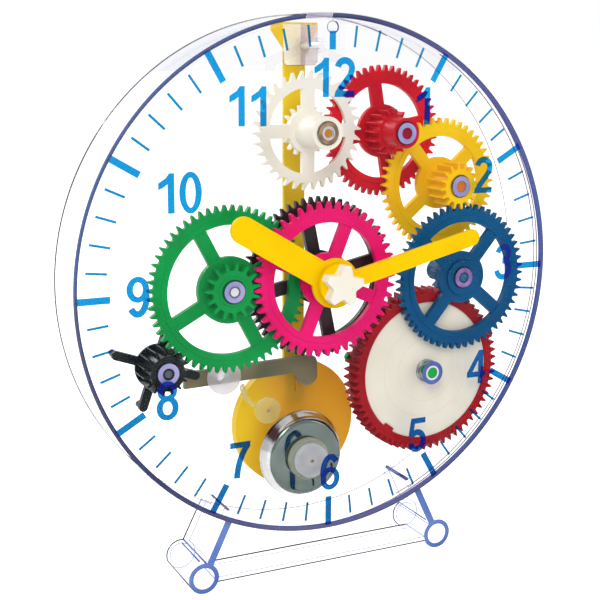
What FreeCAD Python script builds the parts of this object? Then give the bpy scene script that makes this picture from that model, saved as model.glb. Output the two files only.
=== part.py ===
import FreeCAD, Part
import math
import os

# Geared teaching clock with a spring barrel, a recoil escapement and a quarter-hour striker.
# It is drawn about the dial centre: X to the right, Y into the case, Z up, all in millimetres.
# The last step moves it so that the origin is the bottom centre of its box.
# Angles are counter-clockwise as seen from the front, from +X.

# ---------------------------------------------------------------- fits and clearances
RUNNING = 0.08          # radial clearance of an arbor in its bearing
SIDE_GAP = 0.3          # clearance between a turning face and a fixed one
SEAT_GAP = 0.1          # clearance between two fixed mouldings that plug together
BACKLASH = 0.32         # shortening of each tooth on its pitch circle
WORKING_DEPTH = 1.0     # tooth height above the pitch circle, in modules
ROOT_DEPTH = 1.25       # tooth depth below the pitch circle, in modules
SHOULDER = 0.6          # height of the flank's bend above the pitch circle, in modules
PRESSURE_ANGLE = math.radians(20)

# ---------------------------------------------------------------- case and stand
CASE_RADIUS = 118.0
CASE_DEPTH = 30.3
CASE_WALL = 2.0
COVER_PLATE = 2.3
COVER_SKIRT = 5.5       # depth of the cover from its face to the joint line
BACK_PLATE = 2.0
SPIGOT_WALL = 1.7
SPIGOT_REACH = 2.3      # how far the spigot stands into the cover
NOTCH_WIDTH = 13.0      # finger notch in the skirt, left of twelve
NOTCH_LEFT = -13.0
LATCH_SIZE = 7.0
LATCH_PROUD = 0.8
HANG_HOLE_RADIUS = 2.4
HANG_HOLE_HEIGHT = CASE_RADIUS - 6.4

TUBE_X = 0.522 * CASE_RADIUS  # foot tubes, which run from front to back
TUBE_Z = -CASE_RADIUS - 14.3
TUBE_RADIUS = 7.2
TUBE_BORE = 5.1
STAND_FRONT = 2.0
STAND_DEPTH = 31.0
LEG_ANGLE = 24.8        # from straight down to where the middle of each leg meets the case
LEG_THICKNESS = 3.3
TAB_FRONT = 7.6         # tabs of the legs, which plug into slots in the case
TAB_BACK = CASE_DEPTH - BACK_PLATE - 0.3
TAB_REACH = 2.2         # how far a tab shows inside the case wall
TIE_THICKNESS = 2.5
TIE_DEPTH = 18.0
TIE_DROP = 0.3          # from the tube centres down to the tie's top face

# ---------------------------------------------------------------- arbors and bearings
ARBOR_RADIUS = 2.6
SOCKET_RADIUS = 4.8
SOCKET_LENGTH = 3.5     # front sockets, from the inside of the cover
BACK_BOSS = 2.5         # rear bosses, outside the back plate
BACK_BOSS_FLOOR = 1.0
SOCKET_CLEARANCE = 0.6  # room round a socket in the face of a wheel
END_PLAY = 0.2
FRONT_FACE = 2.9        # where the hubs start behind the cover

# ---------------------------------------------------------------- wheel train
SPOKES = 4
SPOKE_WIDTH = 6.2
RIM_WIDTH = 6.0         # from the root of the teeth inwards
HUB_FLANGE = 12.5       # radius of the web round each hub
BEAD_WIDTH = 2.8        # raised bead round the inside of each rim
BEAD_HEIGHT = 0.4
WHEEL_THICKNESS = 2.6
ESCAPE_THICKNESS = 2.4

BARREL_TEETH = 65
CENTRE_TEETH = 60
BLUE_PINION_TEETH = 15
BLUE_TEETH = 56
YELLOW_PINION_TEETH = 16
YELLOW_TEETH = 48
RED_PINION_TEETH = 15
RED_TEETH = 50
ESCAPE_PINION_TEETH = 18
ESCAPE_TEETH = 34
CANNON_TEETH = 15
GREEN_TEETH = 60
GREEN_PINION_TEETH = 15
HOUR_TEETH = 45
STAR_TEETH = 15

# centre distances, and the direction from one arbor to the next
MOVEMENT_SCALE = CASE_RADIUS / 118.0
CENTRE_TO_BARREL = 75.2 * MOVEMENT_SCALE
CENTRE_TO_GREEN = 45.6 * MOVEMENT_SCALE
BLUE_TO_YELLOW = 43.9 * MOVEMENT_SCALE
YELLOW_TO_RED = 39.4 * MOVEMENT_SCALE
RED_TO_ESCAPE = 40.1 * MOVEMENT_SCALE
BARREL_DIRECTION = -41.1
BLUE_DIRECTION = 70.3
YELLOW_DIRECTION = 94.0
RED_DIRECTION = 139.9
ESCAPE_DIRECTION = 178.7
GREEN_DIRECTION = 182.2
STAR_DIRECTION = 227.2

# where each wheel and pinion lies, from front to back
HOUR_WHEEL_Y = 3.4
BLUE_WHEEL_Y = 4.0
GREEN_PINION_BACK = 7.4
GREEN_COLLAR_RADIUS = 6.8
GREEN_WHEEL_Y = 8.0
GREEN_FLANGE_RADIUS = 15.0
CANNON_FRONT = 7.5
CANNON_BACK = 11.2
CENTRE_WHEEL_Y = 11.6
CENTRE_HUB_RADIUS = 6.0
CENTRE_HUB_BACK = 16.0
STAR_COLLAR_RADIUS = 7.8
STAR_TEETH_FRONT = 5.0
STAR_ARMS_Y = 18.0
STAR_ARM_THICKNESS = 2.6
STAR_ARM_WIDTH = 4.0
STAR_FLANGE = 1.2       # thickness of the disc that closes the pinion's back
PEG_CIRCLE = 19.4
PEG_RADIUS = 1.6
PEG_END_GAP = 0.6       # from the pegs' ends to the lever
STAR_ARM_ANGLE = 70.5
BARREL_FRONT = 7.4
BARREL_BACK = 17.4
BLUE_PINION_BACK = 17.0
YELLOW_PINION_BACK = 15.5
RED_WHEEL_Y = CASE_DEPTH - BACK_PLATE - WHEEL_THICKNESS - 0.4
YELLOW_WHEEL_Y = RED_WHEEL_Y - WHEEL_THICKNESS - 1.2
RED_PINION_FRONT = 14.0
RED_PINION_BACK = RED_WHEEL_Y - 0.7
RED_COLLAR_RADIUS = 6.9
ESCAPE_WHEEL_Y = RED_WHEEL_Y - ESCAPE_THICKNESS - 0.6
HUB_RADIUS = 7.4        # plain hubs between a pinion and its wheel
REAR_HUB_RADIUS = 5.0

# directions of one spoke of each wheel
HOUR_SPOKE = 68.0
CENTRE_SPOKE = 12.0
GREEN_SPOKE = 28.0
BLUE_SPOKE = 50.0
YELLOW_SPOKE = 40.0
RED_SPOKE = 10.0
ESCAPE_SPOKE = 0.0

# pointed teeth of the escape wheel; the last three are shares of a tooth space
ESCAPE_TIP = 27.1 * MOVEMENT_SCALE
ESCAPE_TOOTH_DEPTH = 3.4
ESCAPE_LEAN = 0.02
ESCAPE_LAND = 0.10
ESCAPE_FOOT = 0.62

# ---------------------------------------------------------------- spring barrel
BARREL_RIM = 3.8        # from the root of the teeth to the cover's seat
BARREL_FLOOR = 1.4
BARREL_COVER_THICKNESS = 1.6
BARREL_LUGS = 3
BARREL_LUG_WIDTH = 5.6
BARREL_LUG_REACH = 1.6
BARREL_LUG_THICKNESS = 0.8
BARREL_LUG_ANGLE = 232.0
SPRING_TURNS = 3
SPRING_STEPS = 24       # straight runs in each turn
SPRING_STRIP = 0.9
SPRING_GAP = 0.4        # from the spring to what holds it
WINDING_HUB_RADIUS = 5.0
RATCHET_RADIUS = 14.0
RATCHET_TEETH = 16
RATCHET_DEPTH = 1.8
RATCHET_Y = 18.4
RATCHET_THICKNESS = 2.8
CLICK_X = 30.0 * MOVEMENT_SCALE
CLICK_Z = -44.0 * MOVEMENT_SCALE
CLICK_BOSS = 4.0
CLICK_WIDTH = 4.4
CLICK_TAIL = 9.4        # from the pivot to the middle of the tail's round end
CLICK_TAIL_ANGLE = 166.5
CLICK_NOSE_ANGLE = 200.0  # where the nose stands, seen from the ratchet's middle
CLICK_LIFT_GAP = 0.35   # from the click's nose to the tips of the ratchet teeth
KEY_HALF_WIDTH = 11.0
KEY_THICKNESS = 4.0
KEY_FRONT = CASE_DEPTH + BACK_BOSS + 1.2
KEY_BACK = KEY_FRONT + 12.0
KEY_COLLAR_RADIUS = 6.0

# ---------------------------------------------------------------- dial work and hands
CENTRE_ARBOR_RADIUS = 1.5
CANNON_PIPE_RADIUS = 2.6
HOUR_PIPE_RADIUS = 4.2
CLUTCH_RADIUS = 5.0
HOUR_HAND_BACK = -3.8
HAND_THICKNESS = 1.8
MINUTE_HAND_BACK = -7.4
HOUR_HAND_LENGTH = 57.3
HOUR_HAND_WIDTH = 12.0
HOUR_HUB_RADIUS = 11.3
HOUR_HAND_ANGLE = 149.3
MINUTE_HAND_LENGTH = 75.3
MINUTE_HAND_WIDTH = 7.8
MINUTE_HUB_RADIUS = 9.4
MINUTE_HAND_ANGLE = 13.7
NUT_FRONT = -14.8
NUT_RADIUS = 9.4
NUT_WAIST = 5.6
NUT_POINTS = 5
NUT_ANGLE = 10.0

# ---------------------------------------------------------------- escapement and pendulum
PENDULUM_LENGTH = 179.9  # beats 8462 times an hour, which turns the minute hand once
ANCHOR_Z = CASE_RADIUS - 14.0
ANCHOR_ARBOR_RADIUS = 1.6
ANCHOR_BOSS = 4.6
ANCHOR_ARM = 4.0
PALLET_GAP = 0.3         # from a pallet to the wheel's tips at the end of the swing
SWING = 3.0              # degrees each way
PALLET_LENGTH = 7.0
BRIDGE_HALF_WIDTH = 10.4
BRIDGE_BOTTOM = CASE_RADIUS - 22.5
BRIDGE_FRONT = 8.8
BRIDGE_BACK = ESCAPE_WHEEL_Y - 2.0
BRIDGE_WALL = 1.6
ROD_WIDTH = 10.7
ROD_FRONT = CASE_DEPTH + 6.9
ROD_THICKNESS = 2.4
ROD_TOP = CASE_RADIUS - 3.4
ROD_TAIL = 22.0          # how far the rod reaches into the bob
CROSSBAR_WIDTH = 23.0
CROSSBAR_HEIGHT = 3.4
GUSSET_BOTTOM = CASE_RADIUS - 15.0
BOB_RADIUS = 31.4
BOB_THICKNESS = 5.2
BOB_SLIT_WIDTH = 1.0
BOB_SLIT_LENGTH = 8.5
BOB_SLIT_TOP = 24.0      # from the middle of the bob up to the slit's top
PENDULUM_HUB = 5.0
PENDULUM_HUB_FRONT = CASE_DEPTH + 1.3

# ---------------------------------------------------------------- striker and bell
LEVER_THICKNESS = 2.5
LEVER_Y = CASE_DEPTH - BACK_PLATE - LEVER_THICKNESS - 0.3
LEVER_HEIGHT = 7.6
LEVER_PIVOT_X = -42.7 * MOVEMENT_SCALE
LEVER_PIVOT_Z = -45.4 * MOVEMENT_SCALE
LEVER_TAIL = 18.4        # from the pivot to the tail's end
LEVER_REACH = 43.8 * MOVEMENT_SCALE       # from the pivot to the middle of the hammer, along the bar
LEVER_TILT = 1.6
HAMMER_RADIUS = 5.2
HAMMER_DROP = 4.0        # how far the hammer hangs below the bar's middle
HAMMER_FILLET = 3.5      # in the corner between the bar and the hammer
BOSS_CAP_RADIUS = 8.1
BOSS_CAP_FRONT = LEVER_Y - 3.5
BELL_X = -1.8 * MOVEMENT_SCALE
BELL_Z = -88.9 * MOVEMENT_SCALE
BELL_FACE_RADIUS = 16.6
BELL_RIM_RADIUS = 21.4
BELL_BACK = CASE_DEPTH - BACK_PLATE - 1.1
BELL_FRONT = BELL_BACK - 7.6
BELL_SHELL = 1.2
BELL_BEND = 2.6          # height and width of the bevelled bend round the face
BELL_POST_RADIUS = 3.0
BELL_SEAT_RADIUS = 4.2
BELL_WASHER_RADIUS = 10.0
BELL_WASHER_FRONT = BELL_FRONT - 3.2
BELL_CAP_RADIUS = 8.1
BELL_CAP_FRONT = BELL_WASHER_FRONT - 3.0
STOP_X = -22.3 * MOVEMENT_SCALE
STOP_Z = -62.8 * MOVEMENT_SCALE
STOP_HEAD_RADIUS = 6.3
STOP_HEAD_FRONT = LEVER_Y - 7.1
STOP_HEAD_THICKNESS = 2.0
STOP_POST_RADIUS = 2.6
STOP_SPRING_WIDTH = 2.2
STOP_SPRING_THICKNESS = 2.4
STOP_ROOT_RADIUS = 3.8


# ---------------------------------------------------------------- small helpers
def vec(x, y, z):
    return FreeCAD.Vector(x, y, z)


def polar(centre, radius, degrees):
    """Point at a distance and direction from a centre, in the plane of the dial."""
    angle = math.radians(degrees)
    return (centre[0] + radius * math.cos(angle), centre[1] + radius * math.sin(angle))


def distance(one, other):
    return math.hypot(other[0] - one[0], other[1] - one[1])


def direction(one, other):
    return math.degrees(math.atan2(other[1] - one[1], other[0] - one[0]))


def disc(centre, radius, front, back):
    """Solid cylinder along Y."""
    base = vec(centre[0], front, centre[1])
    return Part.makeCylinder(radius, back - front, base, vec(0, 1, 0))


def tube(centre, outer, inner, front, back):
    return disc(centre, outer, front, back).cut(disc(centre, inner, front, back))


def block(x0, x1, y0, y1, z0, z1):
    return Part.makeBox(x1 - x0, y1 - y0, z1 - z0, vec(x0, y0, z0))


def polygon(points, y):
    """Closed wire through points of the dial plane, at a depth y."""
    corners = [vec(x, y, z) for x, z in points]
    return Part.makePolygon(corners + corners[:1])


def plate(outline, front, back, holes=()):
    """Flat solid from a closed wire and the wires of its holes, all drawn at front."""
    face = Part.Face([outline, *holes]) if holes else Part.Face(outline)
    face.validate()
    return face.extrude(vec(0, back - front, 0))


def bar(one, other, width, front, back):
    """Straight bar with round ends between two points of the dial plane."""
    along = direction(one, other)
    sides = [
        polar(one, width / 2, along + 90),
        polar(one, width / 2, along + 180),
        polar(one, width / 2, along - 90),
        polar(other, width / 2, along - 90),
        polar(other, width / 2, along),
        polar(other, width / 2, along + 90),
    ]
    p = [vec(x, front, z) for x, z in sides]
    edges = [
        Part.Arc(p[0], p[1], p[2]).toShape(),
        Part.LineSegment(p[2], p[3]).toShape(),
        Part.Arc(p[3], p[4], p[5]).toShape(),
        Part.LineSegment(p[5], p[0]).toShape(),
    ]
    return plate(Part.Wire(edges), front, back)


def fuse(first, *others):
    return first.multiFuse(list(others)).removeSplitter() if others else first


def turned(shape, centre, degrees):
    """The shape turned counter-clockwise, as seen from the front, about an arbor."""
    copy = shape.copy()
    copy.rotate(vec(centre[0], 0, centre[1]), vec(0, -1, 0), degrees)
    return copy


# ---------------------------------------------------------------- gears
class Gear:
    """One toothed rim: its arbor's place, its size and the direction of one tooth."""

    def __init__(self, centre, teeth, module, tooth_angle=0.0):
        self.centre = centre
        self.teeth = teeth
        self.module = module
        self.tooth_angle = tooth_angle
        self.pitch = teeth * module / 2
        self.tip = self.pitch + WORKING_DEPTH * module
        self.root = self.pitch - ROOT_DEPTH * module

    def half_tooth(self, radius):
        """Half of a tooth's angle at a radius, in radians, for involute flanks."""
        base = self.pitch * math.cos(PRESSURE_ANGLE)
        at = math.acos(min(1.0, base / radius))
        involute = math.tan(PRESSURE_ANGLE) - PRESSURE_ANGLE
        half = math.pi / (2 * self.teeth) - BACKLASH / (2 * self.pitch)
        return half + involute - (math.tan(at) - at)

    def outline(self, y):
        """Rim outline whose flanks are two chords of the involute each."""
        points = []
        shoulder = self.pitch + SHOULDER * self.module
        flank = [(radius, self.half_tooth(radius)) for radius in (self.root, shoulder, self.tip)]
        corners = [(radius, -half) for radius, half in flank] + flank[::-1]
        for tooth in range(self.teeth):
            middle = self.tooth_angle + 360.0 * tooth / self.teeth
            for radius, half in corners:
                points.append(polar(self.centre, radius, middle + math.degrees(half)))
        return polygon(points, y)

    def meshed(self, centre, teeth):
        """The gear of the same module at centre that has its teeth in this one's gaps."""
        along = direction(self.centre, centre)
        here = ((along - self.tooth_angle) * self.teeth / 360.0) % 1.0
        tooth_angle = along + 180.0 - (0.5 - here) * 360.0 / teeth
        return Gear(centre, teeth, self.module, tooth_angle)


def pair_module(span, one, other):
    """Module that makes two tooth counts meet over a centre distance."""
    return 2.0 * span / (one + other)


def spoke_windows(centre, inner, outer, first_spoke, y):
    """Wires of the openings between the spokes, which have parallel sides."""
    wires = []
    half = SPOKE_WIDTH / 2
    for spoke in range(SPOKES):
        start = first_spoke + 360.0 * spoke / SPOKES
        end = start + 360.0 / SPOKES
        near = math.degrees(math.asin(half / inner))
        far = math.degrees(math.asin(half / outer))
        middle = (start + end) / 2
        a, b = polar(centre, inner, start + near), polar(centre, outer, start + far)
        c, d = polar(centre, outer, end - far), polar(centre, inner, end - near)
        crown, foot = polar(centre, outer, middle), polar(centre, inner, middle)
        a, b, c, d, crown, foot = [vec(p[0], y, p[1]) for p in (a, b, c, d, crown, foot)]
        edges = [
            Part.LineSegment(a, b).toShape(),
            Part.Arc(b, crown, c).toShape(),
            Part.LineSegment(c, d).toShape(),
            Part.Arc(d, foot, a).toShape(),
        ]
        wires.append(Part.Wire(edges))
    return wires


def spoked_wheel(gear, front, thickness, first_spoke, flange=HUB_FLANGE):
    """Toothed rim on four spokes, with a raised bead round the front of the rim."""
    inner_rim = gear.root - RIM_WIDTH
    windows = spoke_windows(gear.centre, flange, inner_rim, first_spoke, front)
    wheel = plate(gear.outline(front), front, front + thickness, windows)
    bead = tube(gear.centre, inner_rim + BEAD_WIDTH, inner_rim, front - BEAD_HEIGHT, front)
    return fuse(wheel, bead)


def pinion(gear, front, back):
    return plate(gear.outline(front), front, back)


def bored(shape, centre, front, back):
    """The moulding with its arbor's bore, and with room for the socket at the front."""
    socket_back = COVER_PLATE + SOCKET_LENGTH + END_PLAY
    recess = disc(centre, SOCKET_RADIUS + SOCKET_CLEARANCE, front - 1, socket_back)
    return shape.cut(fuse(disc(centre, ARBOR_RADIUS, front - 1, back + 1), recess))


def arbor(centre, front=None, back=None):
    """Steel arbor that runs in the cover's socket and in the boss of the back plate."""
    start = COVER_PLATE + END_PLAY if front is None else front
    end = CASE_DEPTH + BACK_BOSS - BACK_BOSS_FLOOR - END_PLAY if back is None else back
    return disc(centre, ARBOR_RADIUS, start, end)


# ---------------------------------------------------------------- arbor places and gears
CENTRE = (0.0, 0.0)
GREEN = polar(CENTRE, CENTRE_TO_GREEN, GREEN_DIRECTION)
STAR = polar(GREEN, pair_module(CENTRE_TO_GREEN, CANNON_TEETH, GREEN_TEETH)
             * (GREEN_TEETH + STAR_TEETH) / 2, STAR_DIRECTION)
BARREL = polar(CENTRE, CENTRE_TO_BARREL, BARREL_DIRECTION)
BLUE = polar(BARREL, pair_module(CENTRE_TO_BARREL, CENTRE_TEETH, BARREL_TEETH)
             * (BARREL_TEETH + BLUE_PINION_TEETH) / 2, BLUE_DIRECTION)
YELLOW = polar(BLUE, BLUE_TO_YELLOW, YELLOW_DIRECTION)
RED = polar(YELLOW, YELLOW_TO_RED, RED_DIRECTION)
ESCAPE = polar(RED, RED_TO_ESCAPE, ESCAPE_DIRECTION)
ANCHOR = (ESCAPE[0], ANCHOR_Z)
BOB = (ANCHOR[0], ANCHOR[1] - PENDULUM_LENGTH)
LEVER_PIVOT = (LEVER_PIVOT_X, LEVER_PIVOT_Z)
BELL = (BELL_X, BELL_Z)
STOP = (STOP_X, STOP_Z)
CLICK = (CLICK_X, CLICK_Z)

centre_gear = Gear(CENTRE, CENTRE_TEETH, pair_module(CENTRE_TO_BARREL, CENTRE_TEETH, BARREL_TEETH))
barrel_gear = centre_gear.meshed(BARREL, BARREL_TEETH)
blue_pinion_gear = barrel_gear.meshed(BLUE, BLUE_PINION_TEETH)
blue_gear = Gear(BLUE, BLUE_TEETH, pair_module(BLUE_TO_YELLOW, BLUE_TEETH, YELLOW_PINION_TEETH))
yellow_pinion_gear = blue_gear.meshed(YELLOW, YELLOW_PINION_TEETH)
yellow_gear = Gear(YELLOW, YELLOW_TEETH, pair_module(YELLOW_TO_RED, YELLOW_TEETH, RED_PINION_TEETH))
red_pinion_gear = yellow_gear.meshed(RED, RED_PINION_TEETH)
red_gear = Gear(RED, RED_TEETH, pair_module(RED_TO_ESCAPE, RED_TEETH, ESCAPE_PINION_TEETH))
escape_pinion_gear = red_gear.meshed(ESCAPE, ESCAPE_PINION_TEETH)
cannon_gear = Gear(CENTRE, CANNON_TEETH, pair_module(CENTRE_TO_GREEN, CANNON_TEETH, GREEN_TEETH))
green_gear = cannon_gear.meshed(GREEN, GREEN_TEETH)
star_gear = green_gear.meshed(STAR, STAR_TEETH)
hour_gear = Gear(CENTRE, HOUR_TEETH, pair_module(CENTRE_TO_GREEN, HOUR_TEETH, GREEN_PINION_TEETH))
green_pinion_gear = hour_gear.meshed(GREEN, GREEN_PINION_TEETH)

SOCKETS = (GREEN, STAR, BARREL, BLUE, YELLOW, RED, ESCAPE)
BACK_INSIDE = CASE_DEPTH - BACK_PLATE
INNER_RADIUS = CASE_RADIUS - CASE_WALL


# ---------------------------------------------------------------- case
def front_cover():
    """Clear face plate, which carries the print and lets the hour pipe through."""
    face = disc(CENTRE, CASE_RADIUS, 0, COVER_PLATE)
    hand_hole = disc(CENTRE, HOUR_PIPE_RADIUS + RUNNING, 0, COVER_PLATE)
    return face.cut(fuse(hand_hole, disc((0, HANG_HOLE_HEIGHT), HANG_HOLE_RADIUS, 0, COVER_PLATE)))


def cover_skirt():
    """Skirt round the face plate, with two latches and a finger notch."""
    skirt = tube(CENTRE, CASE_RADIUS, INNER_RADIUS, COVER_PLATE, COVER_SKIRT)
    latches = []
    for side in (-1, 1):
        inner, outer = side * (CASE_RADIUS - CASE_WALL / 2), side * (CASE_RADIUS + LATCH_PROUD)
        latches.append(block(min(inner, outer), max(inner, outer), COVER_PLATE, COVER_SKIRT,
                             -LATCH_SIZE / 2, LATCH_SIZE / 2))
    notch = block(NOTCH_LEFT, NOTCH_LEFT + NOTCH_WIDTH, COVER_PLATE, COVER_SKIRT,
                  CASE_RADIUS - 2 * CASE_WALL, CASE_RADIUS + CASE_WALL)
    return fuse(skirt, *latches).cut(notch)


def cover_sockets():
    """Front bearings of the arbors, one blind tube for each on the inside of the cover."""
    back = COVER_PLATE + SOCKET_LENGTH
    return Part.Compound([tube(centre, SOCKET_RADIUS, ARBOR_RADIUS + RUNNING, COVER_PLATE, back)
                          for centre in SOCKETS])


def leg_line(side):
    """Foot tube centre and a point of the leg's middle line inside the case."""
    foot = (side * TUBE_X, TUBE_Z)
    top = polar(CENTRE, CASE_RADIUS, -90 + side * LEG_ANGLE)
    along = direction(foot, top)
    inside = polar(foot, distance(foot, top) + 2 * CASE_WALL + TAB_REACH, along)
    return foot, inside


def leg_blank(side, thickness, front, back):
    foot, inside = leg_line(side)
    along = direction(foot, inside)
    corners = [
        polar(foot, thickness / 2, along + 90),
        polar(foot, thickness / 2, along - 90),
        polar(inside, thickness / 2, along - 90),
        polar(inside, thickness / 2, along + 90),
    ]
    return plate(polygon(corners, front), front, back)


def case_wall():
    """Clear wall of the case, with a spigot for the cover and slots for the stand's tabs."""
    wall = tube(CENTRE, CASE_RADIUS, INNER_RADIUS, COVER_SKIRT, BACK_INSIDE)
    spigot_outer = INNER_RADIUS - SEAT_GAP
    spigot_inner = spigot_outer - SPIGOT_WALL
    spigot = tube(CENTRE, spigot_outer, spigot_inner, COVER_SKIRT - SPIGOT_REACH, COVER_SKIRT)
    collar = tube(CENTRE, INNER_RADIUS + SEAT_GAP, spigot_inner, COVER_SKIRT, COVER_SKIRT + SPIGOT_WALL)
    slots = [leg_blank(side, LEG_THICKNESS + 2 * SEAT_GAP, TAB_FRONT - SEAT_GAP, TAB_BACK + SEAT_GAP)
             for side in (-1, 1)]
    return fuse(wall, spigot, collar).cut(fuse(*slots))


def back_plate():
    """Clear plate behind the movement, with a bearing for each arbor."""
    plate_disc = disc(CENTRE, CASE_RADIUS, BACK_INSIDE, CASE_DEPTH)
    outside = CASE_DEPTH + BACK_BOSS
    bosses = [disc(centre, SOCKET_RADIUS, BACK_INSIDE, outside) for centre in SOCKETS + (CENTRE,)]
    bores = [disc(ANCHOR, ANCHOR_ARBOR_RADIUS + RUNNING, BACK_INSIDE, CASE_DEPTH)]
    for centre in SOCKETS + (CENTRE,):
        radius = CENTRE_ARBOR_RADIUS if centre == CENTRE else ARBOR_RADIUS
        end = outside if centre == BARREL else outside - BACK_BOSS_FLOOR
        bores.append(disc(centre, radius + RUNNING, BACK_INSIDE, end))
    return fuse(plate_disc, *bosses).cut(fuse(*bores))


def case_posts():
    """Posts on the back plate for the lever, the bell, the stop and the click."""
    posts = [
        disc(LEVER_PIVOT, ARBOR_RADIUS, BOSS_CAP_FRONT + 1, BACK_INSIDE),
        fuse(disc(BELL, BELL_POST_RADIUS, BELL_CAP_FRONT + 1, BACK_INSIDE),
             disc(BELL, BELL_SEAT_RADIUS, BELL_FRONT + BELL_SHELL, BACK_INSIDE)),
        disc(STOP, STOP_POST_RADIUS, STOP_HEAD_FRONT + 1, BACK_INSIDE),
        disc(CLICK, ARBOR_RADIUS, RATCHET_Y, BACK_INSIDE),
    ]
    return Part.Compound(posts)


def stand():
    """Two legs on foot tubes, with a tie between them and tabs that plug into the case."""
    back = STAND_FRONT + STAND_DEPTH
    feet = [(side * TUBE_X, TUBE_Z) for side in (-1, 1)]
    outside = disc(CENTRE, CASE_RADIUS + SEAT_GAP, STAND_FRONT - 1, back + 1)
    tab_limit = disc(CENTRE, INNER_RADIUS - TAB_REACH, STAND_FRONT - 1, back + 1)
    top = TUBE_Z - TIE_DROP
    parts = [block(-TUBE_X, TUBE_X, STAND_FRONT, STAND_FRONT + TIE_DEPTH, top - TIE_THICKNESS, top)]
    for side, foot in zip((-1, 1), feet):
        parts.append(leg_blank(side, LEG_THICKNESS, STAND_FRONT, back).cut(outside))
        parts.append(leg_blank(side, LEG_THICKNESS, TAB_FRONT, TAB_BACK).cut(tab_limit))
        parts.append(disc(foot, TUBE_RADIUS, STAND_FRONT, back))
    bores = [disc(foot, TUBE_BORE, STAND_FRONT - 1, back + 1) for foot in feet]
    return fuse(parts[0], *parts[1:]).cut(fuse(*bores))


def anchor_bridge():
    """Clear box under the rim that carries the front end of the anchor's arbor."""
    case_inside = disc(CENTRE, INNER_RADIUS - SEAT_GAP, BRIDGE_FRONT, BRIDGE_BACK)
    outer = block(-BRIDGE_HALF_WIDTH, BRIDGE_HALF_WIDTH, BRIDGE_FRONT, BRIDGE_BACK,
                  BRIDGE_BOTTOM, CASE_RADIUS)
    outer = outer.common(case_inside)
    inner = block(-BRIDGE_HALF_WIDTH + BRIDGE_WALL, BRIDGE_HALF_WIDTH - BRIDGE_WALL,
                  BRIDGE_FRONT + BRIDGE_WALL, BRIDGE_BACK + 1,
                  BRIDGE_BOTTOM + BRIDGE_WALL, INNER_RADIUS - 3 * BRIDGE_WALL)
    bearing = disc(ANCHOR, ANCHOR_ARBOR_RADIUS + BRIDGE_WALL, BRIDGE_FRONT, BRIDGE_BACK)
    shell = fuse(outer.cut(inner), bearing)
    return shell.cut(disc(ANCHOR, ANCHOR_ARBOR_RADIUS + RUNNING, BRIDGE_FRONT + 1, BRIDGE_BACK + 1))


# ---------------------------------------------------------------- striker parts on the case
def bell():
    """Pressed steel gong: a flat face, a bevelled bend and a flared skirt."""
    def profile(face_radius, rim_radius, front):
        bend = front + BELL_BEND
        shoulder = (face_radius + BELL_BEND * 0.7, front + BELL_BEND * 0.3)
        points = [(0, front), (face_radius, front), shoulder,
                  (face_radius + BELL_BEND, bend), (rim_radius, BELL_BACK), (0, BELL_BACK)]
        corners = [vec(x, y, 0) for x, y in points]
        return Part.Face(Part.makePolygon(corners + corners[:1])).revolve(vec(0, 0, 0), vec(0, 1, 0), 360)

    outer = profile(BELL_FACE_RADIUS, BELL_RIM_RADIUS, BELL_FRONT)
    inner = profile(BELL_FACE_RADIUS - BELL_SHELL * 0.6, BELL_RIM_RADIUS - BELL_SHELL,
                    BELL_FRONT + BELL_SHELL)
    gong = outer.cut(inner).cut(disc(CENTRE, BELL_POST_RADIUS, 0, BELL_BACK))
    gong.translate(vec(BELL[0], 0, BELL[1]))
    return gong


def bell_washer():
    return tube(BELL, BELL_WASHER_RADIUS, BELL_POST_RADIUS, BELL_WASHER_FRONT, BELL_FRONT)


def bell_cap():
    cap = disc(BELL, BELL_CAP_RADIUS, BELL_CAP_FRONT, BELL_WASHER_FRONT)
    return cap.cut(disc(BELL, BELL_POST_RADIUS, BELL_CAP_FRONT + 1, BELL_WASHER_FRONT))


def lever_cap():
    """Round cap that keeps the strike lever on its post."""
    cap_back = LEVER_Y - SIDE_GAP
    cap = disc(LEVER_PIVOT, BOSS_CAP_RADIUS, BOSS_CAP_FRONT, BOSS_CAP_FRONT + 1.4)
    sleeve = disc(LEVER_PIVOT, BOSS_CAP_RADIUS / 2, BOSS_CAP_FRONT + 1, cap_back)
    return fuse(cap, sleeve).cut(disc(LEVER_PIVOT, ARBOR_RADIUS, BOSS_CAP_FRONT + 1, cap_back))


def lever_spring():
    """Moulded stop: a round head on its post with a curved finger up to the lever's cap."""
    head_back = STOP_HEAD_FRONT + STOP_HEAD_THICKNESS
    back = head_back + STOP_SPRING_THICKNESS
    head = disc(STOP, STOP_HEAD_RADIUS, STOP_HEAD_FRONT, head_back)
    root = disc(STOP, STOP_ROOT_RADIUS, head_back, back)
    half = STOP_SPRING_WIDTH / 2
    tip = polar(LEVER_PIVOT, BOSS_CAP_RADIUS + half + SIDE_GAP, direction(LEVER_PIVOT, STOP) + 12.0)
    span = distance(STOP, tip)
    along = direction(STOP, tip)
    bow = span / 6
    middle = polar(STOP, span / 2, along)

    def arc(offset):
        points = (polar(STOP, offset, along + 90), polar(middle, bow + offset, along + 90),
                  polar(tip, offset, along + 90))
        return [vec(x, head_back, z) for x, z in points]

    outer, inner = arc(half), arc(-half)
    edges = [
        Part.Arc(*outer).toShape(),
        Part.LineSegment(outer[2], inner[2]).toShape(),
        Part.Arc(*inner[::-1]).toShape(),
        Part.LineSegment(inner[0], outer[0]).toShape(),
    ]
    finger = plate(Part.Wire(edges), head_back, back)
    return fuse(head, root, finger).cut(disc(STOP, STOP_POST_RADIUS, STOP_HEAD_FRONT + 1, back))


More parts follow.
